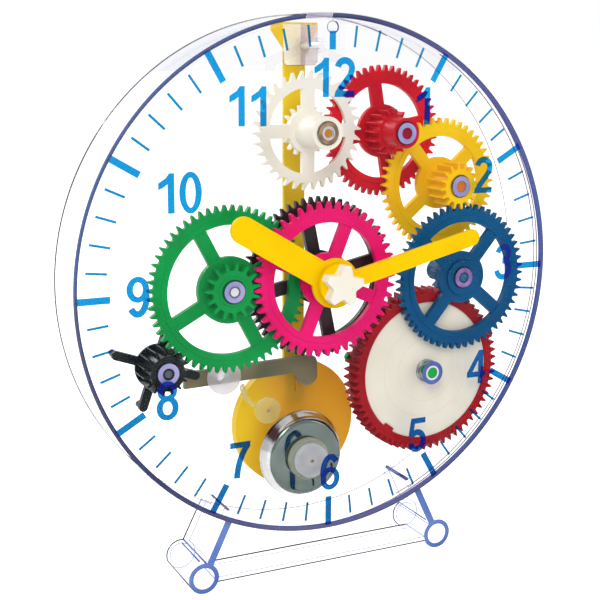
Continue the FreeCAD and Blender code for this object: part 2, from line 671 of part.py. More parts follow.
def strike_lever():
    """Lever whose tail lies at the star's pegs and whose hammer hangs over the bell."""
    half = LEVER_HEIGHT / 2
    back = LEVER_Y + LEVER_THICKNESS
    inside = LEVER_REACH - HAMMER_RADIUS
    right = LEVER_REACH + HAMMER_RADIUS
    lobe = -HAMMER_DROP - HAMMER_RADIUS
    corner = HAMMER_FILLET * (1 - math.sqrt(0.5))
    bend = HAMMER_RADIUS * math.sqrt(0.5)

    def at(x, z):
        return vec(x, LEVER_Y, z)

    edges = [
        Part.LineSegment(at(-LEVER_TAIL, half), at(-LEVER_TAIL, -half)).toShape(),
        Part.LineSegment(at(-LEVER_TAIL, -half), at(inside - HAMMER_FILLET, -half)).toShape(),
        Part.Arc(at(inside - HAMMER_FILLET, -half), at(inside - corner, -half - corner),
                 at(inside, -half - HAMMER_FILLET)).toShape(),
        Part.Arc(at(inside, -half - HAMMER_FILLET), at(LEVER_REACH, lobe - HAMMER_FILLET + half / 2),
                 at(right, -half - HAMMER_FILLET)).toShape(),
        Part.LineSegment(at(right, -half - HAMMER_FILLET), at(right, half - HAMMER_FILLET)).toShape(),
        Part.Arc(at(right, half - HAMMER_FILLET), at(right - corner, half - corner),
                 at(right - HAMMER_FILLET, half)).toShape(),
        Part.LineSegment(at(right - HAMMER_FILLET, half), at(-LEVER_TAIL, half)).toShape(),
    ]
    lever = plate(Part.Wire(edges), LEVER_Y, back)
    lever = turned(lever, CENTRE, LEVER_TILT)
    lever.translate(vec(LEVER_PIVOT[0], 0, LEVER_PIVOT[1]))
    return lever.cut(disc(LEVER_PIVOT, ARBOR_RADIUS + RUNNING, LEVER_Y, back))


# ---------------------------------------------------------------- dial work
def centre_wheel():
    wheel = spoked_wheel(centre_gear, CENTRE_WHEEL_Y, WHEEL_THICKNESS, CENTRE_SPOKE)
    hub = disc(CENTRE, CENTRE_HUB_RADIUS, CENTRE_WHEEL_Y, CENTRE_HUB_BACK)
    return fuse(wheel, hub).cut(disc(CENTRE, CENTRE_ARBOR_RADIUS, 0, CASE_DEPTH))


def centre_arbor():
    end = CASE_DEPTH + BACK_BOSS - BACK_BOSS_FLOOR - END_PLAY
    return disc(CENTRE, CENTRE_ARBOR_RADIUS, NUT_FRONT + 1.5, end)


def cannon_pinion():
    """Pinion with a pipe that carries the minute hand through the hour pipe."""
    pipe = disc(CENTRE, CANNON_PIPE_RADIUS, MINUTE_HAND_BACK - HAND_THICKNESS, CANNON_FRONT)
    body = fuse(pinion(cannon_gear, CANNON_FRONT, CANNON_BACK), pipe)
    return body.cut(disc(CENTRE, CENTRE_ARBOR_RADIUS, NUT_FRONT, CASE_DEPTH))


def clutch_washer():
    """Dished friction washer between the cannon pinion and the centre wheel."""
    return tube(CENTRE, CLUTCH_RADIUS, CENTRE_ARBOR_RADIUS, CANNON_BACK, CENTRE_WHEEL_Y)


def hour_wheel():
    wheel = spoked_wheel(hour_gear, HOUR_WHEEL_Y, WHEEL_THICKNESS, HOUR_SPOKE)
    hub = disc(CENTRE, 2 * HOUR_PIPE_RADIUS, FRONT_FACE, CANNON_FRONT - SIDE_GAP)
    pipe = disc(CENTRE, HOUR_PIPE_RADIUS, HOUR_HAND_BACK - HAND_THICKNESS, FRONT_FACE)
    bore = disc(CENTRE, CANNON_PIPE_RADIUS + RUNNING, NUT_FRONT, CASE_DEPTH)
    return fuse(wheel, hub, pipe).cut(bore)


def hand(length, width, hub_radius, bore, angle, back):
    """Flat hand with a round tip and a hub ring."""
    front = back - HAND_THICKNESS
    tip = polar(CENTRE, length - width / 2, angle)
    blade = bar(CENTRE, tip, width, front, back)
    hub = disc(CENTRE, hub_radius, front, back)
    return fuse(blade, hub).cut(disc(CENTRE, bore, front - 1, back + 1))


def hour_hand():
    return hand(HOUR_HAND_LENGTH, HOUR_HAND_WIDTH, HOUR_HUB_RADIUS, HOUR_PIPE_RADIUS,
                HOUR_HAND_ANGLE, HOUR_HAND_BACK)


def minute_hand():
    return hand(MINUTE_HAND_LENGTH, MINUTE_HAND_WIDTH, MINUTE_HUB_RADIUS, CANNON_PIPE_RADIUS,
                MINUTE_HAND_ANGLE, MINUTE_HAND_BACK)


def hand_nut():
    """Five-pointed nut that turns the hands and holds them on."""
    points = []
    step = 180.0 / NUT_POINTS
    blunt = step / 4
    back = MINUTE_HAND_BACK - HAND_THICKNESS
    for point in range(NUT_POINTS):
        middle = NUT_ANGLE + 2 * step * point
        points.append(polar(CENTRE, NUT_WAIST, middle - step))
        points.append(polar(CENTRE, NUT_RADIUS, middle - blunt))
        points.append(polar(CENTRE, NUT_RADIUS, middle + blunt))
    body = plate(polygon(points, NUT_FRONT), NUT_FRONT, back)
    return body.cut(disc(CENTRE, CENTRE_ARBOR_RADIUS, NUT_FRONT + 1.5, back))


# ---------------------------------------------------------------- compound wheels
def green_compound():
    flange = disc(GREEN, GREEN_FLANGE_RADIUS, GREEN_PINION_BACK, GREEN_WHEEL_Y)
    wheel = spoked_wheel(green_gear, GREEN_WHEEL_Y, WHEEL_THICKNESS, GREEN_SPOKE, GREEN_FLANGE_RADIUS)
    rear = disc(GREEN, REAR_HUB_RADIUS, GREEN_WHEEL_Y + WHEEL_THICKNESS, BACK_INSIDE - SIDE_GAP)
    collar = disc(GREEN, GREEN_COLLAR_RADIUS, FRONT_FACE, HOUR_WHEEL_Y)
    body = fuse(pinion(green_pinion_gear, HOUR_WHEEL_Y, GREEN_PINION_BACK), collar, flange, wheel, rear)
    return bored(body, GREEN, FRONT_FACE, BACK_INSIDE)


def strike_star():
    """Long pinion with four arms, whose pegs trip the strike lever each quarter."""
    arms_back = STAR_ARMS_Y + STAR_ARM_THICKNESS
    parts = [disc(STAR, STAR_COLLAR_RADIUS, FRONT_FACE, STAR_TEETH_FRONT),
             disc(STAR, star_gear.tip, STAR_ARMS_Y - STAR_FLANGE, STAR_ARMS_Y)]
    for arm in range(4):
        angle = STAR_ARM_ANGLE + 90.0 * arm
        tip = polar(STAR, PEG_CIRCLE, angle)
        parts.append(bar(STAR, tip, STAR_ARM_WIDTH, STAR_ARMS_Y, arms_back))
        parts.append(disc(tip, PEG_RADIUS, STAR_ARMS_Y, LEVER_Y - PEG_END_GAP))
    parts.append(disc(STAR, REAR_HUB_RADIUS, STAR_ARMS_Y, BACK_INSIDE - SIDE_GAP))
    body = fuse(pinion(star_gear, STAR_TEETH_FRONT, STAR_ARMS_Y), *parts)
    return bored(body, STAR, FRONT_FACE, BACK_INSIDE)


def blue_compound():
    wheel = spoked_wheel(blue_gear, BLUE_WHEEL_Y, WHEEL_THICKNESS, BLUE_SPOKE)
    hub = disc(BLUE, HUB_RADIUS + 1, FRONT_FACE, BARREL_FRONT)
    rear = disc(BLUE, REAR_HUB_RADIUS, BLUE_PINION_BACK, BACK_INSIDE - SIDE_GAP)
    body = fuse(wheel, hub, pinion(blue_pinion_gear, BARREL_FRONT, BLUE_PINION_BACK), rear)
    return bored(body, BLUE, FRONT_FACE, BACK_INSIDE)


def yellow_compound():
    wheel = spoked_wheel(yellow_gear, YELLOW_WHEEL_Y, WHEEL_THICKNESS, YELLOW_SPOKE)
    hub = disc(YELLOW, HUB_RADIUS, YELLOW_PINION_BACK, YELLOW_WHEEL_Y)
    rear = disc(YELLOW, REAR_HUB_RADIUS, YELLOW_WHEEL_Y + WHEEL_THICKNESS, BACK_INSIDE - SIDE_GAP)
    body = fuse(wheel, hub, pinion(yellow_pinion_gear, FRONT_FACE, YELLOW_PINION_BACK), rear)
    return bored(body, YELLOW, FRONT_FACE, BACK_INSIDE)


def red_compound():
    wheel = spoked_wheel(red_gear, RED_WHEEL_Y, WHEEL_THICKNESS, RED_SPOKE)
    neck = disc(RED, HUB_RADIUS, RED_PINION_BACK, RED_WHEEL_Y)
    collar = disc(RED, RED_COLLAR_RADIUS, FRONT_FACE, RED_PINION_FRONT)
    body = fuse(wheel, neck, collar, pinion(red_pinion_gear, RED_PINION_FRONT, RED_PINION_BACK))
    return bored(body, RED, FRONT_FACE, BACK_INSIDE)


def escape_outline(y):
    """Pointed teeth that lean the way the wheel turns."""
    tip = ESCAPE_TIP
    root = tip - ESCAPE_TOOTH_DEPTH
    step = 360.0 / ESCAPE_TEETH
    points = []
    for tooth in range(ESCAPE_TEETH):
        start = step * tooth
        points.append(polar(ESCAPE, root, start))
        points.append(polar(ESCAPE, tip, start + ESCAPE_LEAN * step))
        points.append(polar(ESCAPE, tip, start + (ESCAPE_LEAN + ESCAPE_LAND) * step))
        points.append(polar(ESCAPE, root, start + ESCAPE_FOOT * step))
    return polygon(points, y)


def escape_compound():
    inner_rim = ESCAPE_TIP - ESCAPE_TOOTH_DEPTH - RIM_WIDTH * 0.7
    windows = spoke_windows(ESCAPE, HUB_FLANGE * 0.8, inner_rim, ESCAPE_SPOKE, ESCAPE_WHEEL_Y)
    back = ESCAPE_WHEEL_Y + ESCAPE_THICKNESS
    wheel = plate(escape_outline(ESCAPE_WHEEL_Y), ESCAPE_WHEEL_Y, back, windows)
    hub = disc(ESCAPE, HUB_RADIUS, FRONT_FACE, ESCAPE_WHEEL_Y)
    drive = pinion(escape_pinion_gear, back, RED_WHEEL_Y + WHEEL_THICKNESS)
    return bored(fuse(wheel, hub, drive), ESCAPE, FRONT_FACE, BACK_INSIDE)


# ---------------------------------------------------------------- barrel and winding work
def barrel():
    """Toothed drum with lugs that hold its cover, open at the front for the spring."""
    seat = barrel_gear.root - BARREL_RIM
    body = pinion(barrel_gear, BARREL_FRONT, BARREL_BACK)
    body = body.cut(disc(BARREL, seat, BARREL_FRONT, BARREL_BACK - BARREL_FLOOR))
    cover_back = BARREL_FRONT + BARREL_LUG_THICKNESS + BARREL_COVER_THICKNESS
    ledge = tube(BARREL, seat, seat - BARREL_LUG_REACH, cover_back, BARREL_BACK - BARREL_FLOOR)
    lugs = []
    for lug in range(BARREL_LUGS):
        angle = BARREL_LUG_ANGLE + 360.0 * lug / BARREL_LUGS
        post = block(seat - BARREL_LUG_REACH, seat + 1, BARREL_FRONT, BARREL_FRONT + BARREL_LUG_THICKNESS,
                     -BARREL_LUG_WIDTH / 2, BARREL_LUG_WIDTH / 2)
        post = turned(post, CENTRE, angle)
        post.translate(vec(BARREL[0], 0, BARREL[1]))
        lugs.append(post)
    body = fuse(body, ledge, *lugs)
    return body.cut(disc(BARREL, WINDING_HUB_RADIUS + RUNNING, BARREL_FRONT, BARREL_BACK))


def barrel_cover():
    """Cream disc that closes the barrel, bored for the winding arbor."""
    seat = barrel_gear.root - BARREL_RIM
    front = BARREL_FRONT + BARREL_LUG_THICKNESS
    cover = disc(BARREL, seat, front, front + BARREL_COVER_THICKNESS)
    return cover.cut(disc(BARREL, ARBOR_RADIUS + RUNNING, front - 1, front + BARREL_COVER_THICKNESS + 1))


def mainspring():
    """Spiral strip in straight runs between the arbor's hub and the barrel's wall."""
    inner = WINDING_HUB_RADIUS + SPRING_GAP
    outer = barrel_gear.root - BARREL_RIM - BARREL_LUG_REACH - SPRING_GAP
    front = BARREL_FRONT + BARREL_LUG_THICKNESS + BARREL_COVER_THICKNESS + SPRING_GAP
    back = BARREL_BACK - BARREL_FLOOR - SPRING_GAP
    steps = SPRING_TURNS * SPRING_STEPS
    pitch = (outer - SPRING_STRIP - inner) / steps
    inside = [polar(BARREL, inner + pitch * i, 360.0 * i / SPRING_STEPS) for i in range(steps + 1)]
    outside = [polar(BARREL, inner + SPRING_STRIP + pitch * i, 360.0 * i / SPRING_STEPS)
               for i in range(steps, -1, -1)]
    return plate(polygon(inside + outside, front), front, back)


def winding_arbor():
    """Green arbor through the barrel, with a hub for the spring and a seat for the key."""
    hub_front = BARREL_FRONT + BARREL_LUG_THICKNESS + BARREL_COVER_THICKNESS + SIDE_GAP
    shaft = disc(BARREL, ARBOR_RADIUS, COVER_PLATE + END_PLAY, KEY_BACK - 3)
    hub = disc(BARREL, WINDING_HUB_RADIUS, hub_front, RATCHET_Y)
    return fuse(shaft, hub)


def ratchet_wheel():
    """Ratchet whose steep faces stop the spring from turning its arbor back."""
    points = []
    step = 360.0 / RATCHET_TEETH
    for tooth in range(RATCHET_TEETH):
        points.append(polar(BARREL, RATCHET_RADIUS - RATCHET_DEPTH, step * tooth))
        points.append(polar(BARREL, RATCHET_RADIUS, step * (tooth + 0.1)))
    back = RATCHET_Y + RATCHET_THICKNESS
    wheel = plate(polygon(points, RATCHET_Y), RATCHET_Y, back)
    sleeve = disc(BARREL, SOCKET_RADIUS, back, BACK_INSIDE - SIDE_GAP)
    return fuse(wheel, sleeve).cut(disc(BARREL, ARBOR_RADIUS, RATCHET_Y, BACK_INSIDE))


def click():
    """Click on its post, with its nose just clear of the ratchet's tips and a round tail."""
    nose = polar(BARREL, RATCHET_RADIUS + CLICK_LIFT_GAP, CLICK_NOSE_ANGLE)
    along = direction(CLICK, nose)
    shoulder = polar(CLICK, distance(CLICK, nose) - CLICK_WIDTH, along)
    front = RATCHET_Y
    back = RATCHET_Y + RATCHET_THICKNESS
    half = CLICK_WIDTH / 2
    corners = [
        polar(CLICK, half, along + 90),
        polar(CLICK, half, along - 90),
        polar(shoulder, half, along - 90),
        nose,
        polar(shoulder, half, along + 90),
    ]
    tail = bar(CLICK, polar(CLICK, CLICK_TAIL, CLICK_TAIL_ANGLE), CLICK_WIDTH, front, back)
    pawl = fuse(plate(polygon(corners, front), front, back), disc(CLICK, CLICK_BOSS, front, back), tail)
    return pawl.cut(disc(CLICK, ARBOR_RADIUS + RUNNING, front, back))


def winding_key():
    """Winged key on the back end of the winding arbor."""
    collar = disc(BARREL, KEY_COLLAR_RADIUS, KEY_FRONT, KEY_BACK - 4)
    wing_back = KEY_BACK
    wing = block(BARREL[0] - KEY_THICKNESS / 2, BARREL[0] + KEY_THICKNESS / 2, KEY_FRONT + 4, wing_back,
                 BARREL[1] - KEY_HALF_WIDTH, BARREL[1] + KEY_HALF_WIDTH)
    corners = [edge for edge in wing.Edges
               if abs(edge.Length - KEY_THICKNESS) < 0.01]
    wing = wing.makeFillet(3.5, corners)
    return fuse(collar, wing).cut(disc(BARREL, ARBOR_RADIUS, KEY_FRONT, KEY_BACK - 3))


# ---------------------------------------------------------------- anchor and pendulum
def pallet_point(side):
    """Where the line from the anchor's arbor touches the escape wheel's tip circle."""
    half_angle = math.degrees(math.acos(ESCAPE_TIP / distance(ESCAPE, ANCHOR)))
    lift = PALLET_GAP + distance(ANCHOR, polar(ESCAPE, ESCAPE_TIP, 90 + half_angle)) * math.sin(
        math.radians(SWING))
    return polar(ESCAPE, ESCAPE_TIP + lift, 90 - side * half_angle)


def anchor():
    """Cream anchor with two pallets, each clear of the wheel at the end of its swing."""
    back = ESCAPE_WHEEL_Y + ESCAPE_THICKNESS
    parts = [disc(ANCHOR, ANCHOR_BOSS, BRIDGE_BACK + SIDE_GAP, BACK_INSIDE - SIDE_GAP)]
    for side in (-1, 1):
        point = pallet_point(side)
        elbow = (ANCHOR[0] + side * abs(point[0] - ANCHOR[0]) * 0.9, ANCHOR[1] - 7.0)
        parts.append(bar(ANCHOR, elbow, ANCHOR_ARM, ESCAPE_WHEEL_Y, back))
        along = direction(elbow, point)
        sole = distance(elbow, point)
        half = ANCHOR_ARM / 2
        corners = [
            polar(elbow, half, along + 90),
            polar(elbow, half, along - 90),
            polar(polar(elbow, sole, along), half * 0.5, along - 90),
            polar(polar(elbow, sole, along), half * 0.5, along + 90),
        ]
        parts.append(plate(polygon(corners, ESCAPE_WHEEL_Y), ESCAPE_WHEEL_Y, back))
    return fuse(parts[0], *parts[1:]).cut(disc(ANCHOR, ANCHOR_ARBOR_RADIUS, 0, CASE_DEPTH))


def anchor_arbor():
    return disc(ANCHOR, ANCHOR_ARBOR_RADIUS, BRIDGE_FRONT + 1 + END_PLAY, ROD_FRONT + ROD_THICKNESS)


def pendulum_rod():
    """Flat rod with a crossbar on top and a hub on the anchor's arbor."""
    back = ROD_FRONT + ROD_THICKNESS
    half = ROD_WIDTH / 2
    top = ROD_TOP
    under = top - CROSSBAR_HEIGHT
    wide = CROSSBAR_WIDTH / 2
    foot = BOB[1] + BOB_RADIUS - ROD_TAIL
    points = [(-half, foot), (half, foot), (half, GUSSET_BOTTOM), (wide, under), (wide, top),
              (-wide, top), (-wide, under), (-half, GUSSET_BOTTOM)]
    points = [(ANCHOR[0] + x, z) for x, z in points]
    blade = plate(polygon(points, ROD_FRONT), ROD_FRONT, back)
    hub = disc(ANCHOR, PENDULUM_HUB, PENDULUM_HUB_FRONT, ROD_FRONT)
    return fuse(blade, hub).cut(disc(ANCHOR, ANCHOR_ARBOR_RADIUS, 0, back))


def pendulum_bob():
    """Round bob that slides on the rod to set the rate."""
    middle = ROD_FRONT + ROD_THICKNESS / 2
    front, back = middle - BOB_THICKNESS / 2, middle + BOB_THICKNESS / 2
    half = ROD_WIDTH / 2
    foot = BOB[1] + BOB_RADIUS - ROD_TAIL
    cavity = block(BOB[0] - half, BOB[0] + half, ROD_FRONT, ROD_FRONT + ROD_THICKNESS,
                   foot, BOB[1] + BOB_RADIUS + 1)
    slit = block(BOB[0] - BOB_SLIT_WIDTH / 2, BOB[0] + BOB_SLIT_WIDTH / 2, front - 1, ROD_FRONT,
                 BOB[1] + BOB_SLIT_TOP - BOB_SLIT_LENGTH, BOB[1] + BOB_SLIT_TOP)
    return disc(BOB, BOB_RADIUS, front, back).cut(cavity).cut(slit)


# ---------------------------------------------------------------- all the pieces
PIECES = {
    "front_cover": front_cover,
    "cover_skirt": cover_skirt,
    "cover_sockets": cover_sockets,
    "case_wall": case_wall,
    "back_plate": back_plate,
    "case_posts": case_posts,
    "stand": stand,
    "anchor_bridge": anchor_bridge,
    "bell": bell,
    "bell_washer": bell_washer,
    "bell_cap": bell_cap,
    "lever_cap": lever_cap,
    "lever_spring": lever_spring,
    "strike_lever": strike_lever,
    "centre_arbor": centre_arbor,
    "centre_wheel": centre_wheel,
    "clutch_washer": clutch_washer,
    "cannon_pinion": cannon_pinion,
    "minute_hand": minute_hand,
    "hand_nut": hand_nut,
    "hour_wheel": hour_wheel,
    "hour_hand": hour_hand,
    "green_wheel": green_compound,
    "green_arbor": lambda: arbor(GREEN),
    "strike_star": strike_star,
    "star_arbor": lambda: arbor(STAR),
    "barrel": barrel,
    "barrel_cover": barrel_cover,
    "mainspring": mainspring,
    "winding_arbor": winding_arbor,
    "ratchet_wheel": ratchet_wheel,
    "winding_key": winding_key,
    "click": click,
    "blue_wheel": blue_compound,
    "blue_arbor": lambda: arbor(BLUE),
    "yellow_wheel": yellow_compound,
    "yellow_arbor": lambda: arbor(YELLOW),
    "red_wheel": red_compound,
    "red_arbor": lambda: arbor(RED),
    "escape_wheel": escape_compound,
    "escape_arbor": lambda: arbor(ESCAPE),
    "anchor": anchor,
    "anchor_arbor": anchor_arbor,
    "pendulum_rod": pendulum_rod,
    "pendulum_bob": pendulum_bob,
}

TO_ORIGIN = vec(0, -(NUT_FRONT + KEY_BACK) / 2, TUBE_RADIUS - TUBE_Z)


def main():
    os.makedirs("parts", exist_ok=True)
    for name, make in PIECES.items():
        shape = make()
        shape.translate(TO_ORIGIN)
        shape.exportStep(os.path.join("parts", name + ".step"))
        print(name, len(shape.Solids), round(shape.Volume / 1000, 2))
    for name, place in (("centre", CENTRE), ("green", GREEN), ("star", STAR), ("barrel", BARREL),
                        ("blue", BLUE), ("yellow", YELLOW), ("red", RED), ("escape", ESCAPE),
                        ("anchor", ANCHOR), ("lever", LEVER_PIVOT), ("click", CLICK)):
        print("axis", name, round(place[0] + TO_ORIGIN.x, 4), round(place[1] + TO_ORIGIN.z, 4))
    print("front plane at y", round(TO_ORIGIN.y, 4))


main()
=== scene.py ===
"""Looks of a geared teaching clock: its finishes, dial print, tinted edges and studio.

Lengths in the sub-assemblies are in millimetres about the middle of the dial, as a
clockmaker would draw them: X to the right, Y into the case from its front face, and Z up.
Lengths in the finishes and in the studio are in metres, in the part's own frame.
"""

from __future__ import annotations

import logging
import math
from dataclasses import dataclass, field
from enum import Enum
from typing import ClassVar, Iterable, Sequence

import bmesh
import bpy
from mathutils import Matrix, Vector
from mathutils.geometry import delaunay_2d_cdt

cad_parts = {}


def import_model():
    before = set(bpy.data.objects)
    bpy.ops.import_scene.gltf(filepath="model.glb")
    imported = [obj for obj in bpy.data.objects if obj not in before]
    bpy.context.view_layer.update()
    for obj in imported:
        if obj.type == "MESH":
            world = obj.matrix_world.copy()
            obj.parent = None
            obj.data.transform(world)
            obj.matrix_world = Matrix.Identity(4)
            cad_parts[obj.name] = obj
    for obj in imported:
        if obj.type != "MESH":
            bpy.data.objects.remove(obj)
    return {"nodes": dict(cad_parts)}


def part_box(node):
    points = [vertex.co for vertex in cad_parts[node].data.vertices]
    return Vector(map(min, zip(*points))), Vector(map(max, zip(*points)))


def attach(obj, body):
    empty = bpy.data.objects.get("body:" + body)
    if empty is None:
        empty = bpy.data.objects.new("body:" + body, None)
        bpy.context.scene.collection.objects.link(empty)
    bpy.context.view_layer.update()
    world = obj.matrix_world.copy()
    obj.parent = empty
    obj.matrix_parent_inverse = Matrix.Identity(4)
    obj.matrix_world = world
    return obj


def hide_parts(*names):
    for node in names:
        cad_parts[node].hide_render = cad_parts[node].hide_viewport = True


LOG = logging.getLogger("teaching_clock")

Colour = tuple[float, float, float]
Spot = tuple[float, float, float]
Point = tuple[float, float]
Loop = list[Point]
Stops = tuple[tuple[float, Colour], ...]
Socket = bpy.types.NodeSocket
Piece = bpy.types.Object

MM = 0.001
WHITE = (1.0, 1.0, 1.0, 1.0)

ARBORS: dict[str, Point] = {
    "green": (-45.566, -1.751),
    "star": (-76.549, -35.209),
    "barrel": (56.668, -49.435),
    "blue": (72.892, -4.124),
    "yellow": (69.829, 39.670),
    "red": (39.692, 65.048),
    "escape": (-0.398, 65.958),
}


# ------------------------------------------------------------------ places and small helpers
def linear(red: int, green: int, blue: int) -> Colour:
    """Turns a display colour into scene light.

    Args:
        red: Red, from 0 to 255.
        green: Green, from 0 to 255.
        blue: Blue, from 0 to 255.

    Returns:
        The same colour in linear light, from 0 to 1.
    """

    def channel(value: int) -> float:
        """Linear value of one display channel."""
        share = value / 255.0
        return share / 12.92 if share <= 0.04045 else ((share + 0.055) / 1.055) ** 2.4

    return channel(red), channel(green), channel(blue)


@dataclass(frozen=True)
class DialPlace:
    """Where the dial's drawing frame lies in the part's own frame."""

    middle_x: float
    front_y: float
    middle_z: float

    @classmethod
    def of_cover(cls) -> "DialPlace":
        """Reads the place from the front cover.

        Returns:
            The drawing frame about the middle of the cover's front face.
        """
        low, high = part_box("front_cover")
        return cls((low.x + high.x) / 2, low.y, (low.z + high.z) / 2)

    def point(self, x: float, y: float, z: float) -> Vector:
        """Place in metres of a point drawn in millimetres.

        Args:
            x: To the right of the middle of the dial.
            y: Into the case from its front face.
            z: Above the middle of the dial.

        Returns:
            The point in the part's frame.
        """
        return Vector((self.middle_x + x * MM, self.front_y + y * MM, self.middle_z + z * MM))

    def front_of(self, node: str) -> float:
        """Depth of the front of a solid, in millimetres from the cover's face."""
        return (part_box(node)[0].y - self.front_y) / MM


def polar(centre: Point, radius: float, degrees: float) -> Point:
    """Point at a distance and direction from a centre, in the plane of the dial.

    Args:
        centre: Centre of the circle.
        radius: Distance from it.
        degrees: Direction, counter-clockwise from the right.

    Returns:
        The point.
    """
    angle = math.radians(degrees)
    return centre[0] + radius * math.cos(angle), centre[1] + radius * math.sin(angle)


def oval(centre: Point, across: float, tall: float, start: float, end: float, steps: int) -> Loop:
    """Points along part of an oval.

    Args:
        centre: Middle of the oval.
        across: Half of its width.
        tall: Half of its height.
        start: Direction of the first point, in degrees.
        end: Direction of the last point, in degrees.
        steps: Number of runs between them.

    Returns:
        The points, with both ends.
    """
    angles = [math.radians(start + (end - start) * i / steps) for i in range(steps + 1)]
    return [(centre[0] + across * math.cos(a), centre[1] + tall * math.sin(a)) for a in angles]


def ring_quads(outer: Loop, inner: Loop) -> list[Loop]:
    """Faces between two loops with as many points each.

    Args:
        outer: Outer loop, first and last points included.
        inner: Inner loop.

    Returns:
        One four-cornered face for each run.
    """
    return [[outer[i], outer[i + 1], inner[i + 1], inner[i]] for i in range(len(outer) - 1)]


def oval_ring(centre: Point, outer: Point, inner: Point, steps: int) -> list[Loop]:
    """Faces between two whole ovals.

    Args:
        centre: Middle of both.
        outer: Half of the width and height of the outer one.
        inner: The same of the inner one.
        steps: Number of faces.

    Returns:
        The faces.
    """
    return ring_quads(oval(centre, *outer, 0, 360, steps), oval(centre, *inner, 0, 360, steps))


def ribbon(path: Loop, width: float) -> list[Loop]:
    """Faces of a stroke of even width along a path, with mitred corners and square ends.

    Args:
        path: Points along the middle of the stroke.
        width: Width of the stroke.

    Returns:
        One face for each run of the path.
    """
    left: Loop = []
    right: Loop = []
    for i, here in enumerate(path):
        before = path[max(i - 1, 0)]
        after = path[min(i + 1, len(path) - 1)]
        ways = []
        for a, b in ((before, here), (here, after)):
            run = math.hypot(b[0] - a[0], b[1] - a[1])
            if run > 1e-9:
                ways.append(((b[0] - a[0]) / run, (b[1] - a[1]) / run))
        along = (sum(w[0] for w in ways), sum(w[1] for w in ways))
        size = math.hypot(*along)
        along = (along[0] / size, along[1] / size)
        reach = width / 2 / max(0.45, ways[0][0] * along[0] + ways[0][1] * along[1])
        left.append((here[0] - along[1] * reach, here[1] + along[0] * reach))
        right.append((here[0] + along[1] * reach, here[1] - along[0] * reach))
    return ring_quads(left, right)


def bow(start: Point, pull: Point, push: Point, end: Point, steps: int = 12) -> Loop:
    """Points along a cubic curve.

    Args:
        start: First point.
        pull: Control point near the start.
        push: Control point near the end.
        end: Last point.
        steps: Number of runs.

    Returns:
        The points, with both ends.
    """
    points = []
    parts = (start, pull, push, end)
    for t in (i / steps for i in range(steps + 1)):
        weights = ((1 - t) ** 3, 3 * t * (1 - t) ** 2, 3 * t * t * (1 - t), t**3)
        points.append(tuple(sum(w * p[k] for w, p in zip(weights, parts)) for k in (0, 1)))
    return points


def placed(name: str, data: bpy.types.ID) -> Piece:
    """Makes an object and puts it in the scene.

    Args:
        name: Name of the object.
        data: Its mesh, light or camera.

    Returns:
        The object.
    """
    thing = bpy.data.objects.new(name, data)
    bpy.context.scene.collection.objects.link(thing)
    return thing


# ------------------------------------------------------------------ node trees
class Nodes:
    """A node tree, built by short calls."""

    def __init__(self, tree: bpy.types.NodeTree) -> None:
        """Empties the tree."""
        self.tree = tree
        tree.nodes.clear()

    def node(self, kind: str, **settings: object) -> bpy.types.Node:
        """Adds a node.

        Args:
            kind: Blender's name for the node, without its ShaderNode prefix.
            **settings: Properties of the node, and values or sockets for its inputs as in_NAME.

        Returns:
            The new node.
        """
        node = self.tree.nodes.new("ShaderNode" + kind)
        for key, value in settings.items():
            if not key.startswith("in_"):
                setattr(node, key, value)
                continue
            name = key[3:].replace("_", " ")
            entry = node.inputs[int(name) if name.isdigit() else name]
            if isinstance(value, Socket):
                self.tree.links.new(value, entry)
            else:
                entry.default_value = value
        return node

    def math(self, operation: str, *values: Socket | float) -> Socket:
        """Adds arithmetic on sockets or plain numbers.

        Args:
            operation: Blender's name for the operation.
            *values: What it works on, in order.

        Returns:
            The result's socket.
        """
        entries = {"in_%d" % i: value for i, value in enumerate(values)}
        return self.node("Math", operation=operation, **entries).outputs[0]


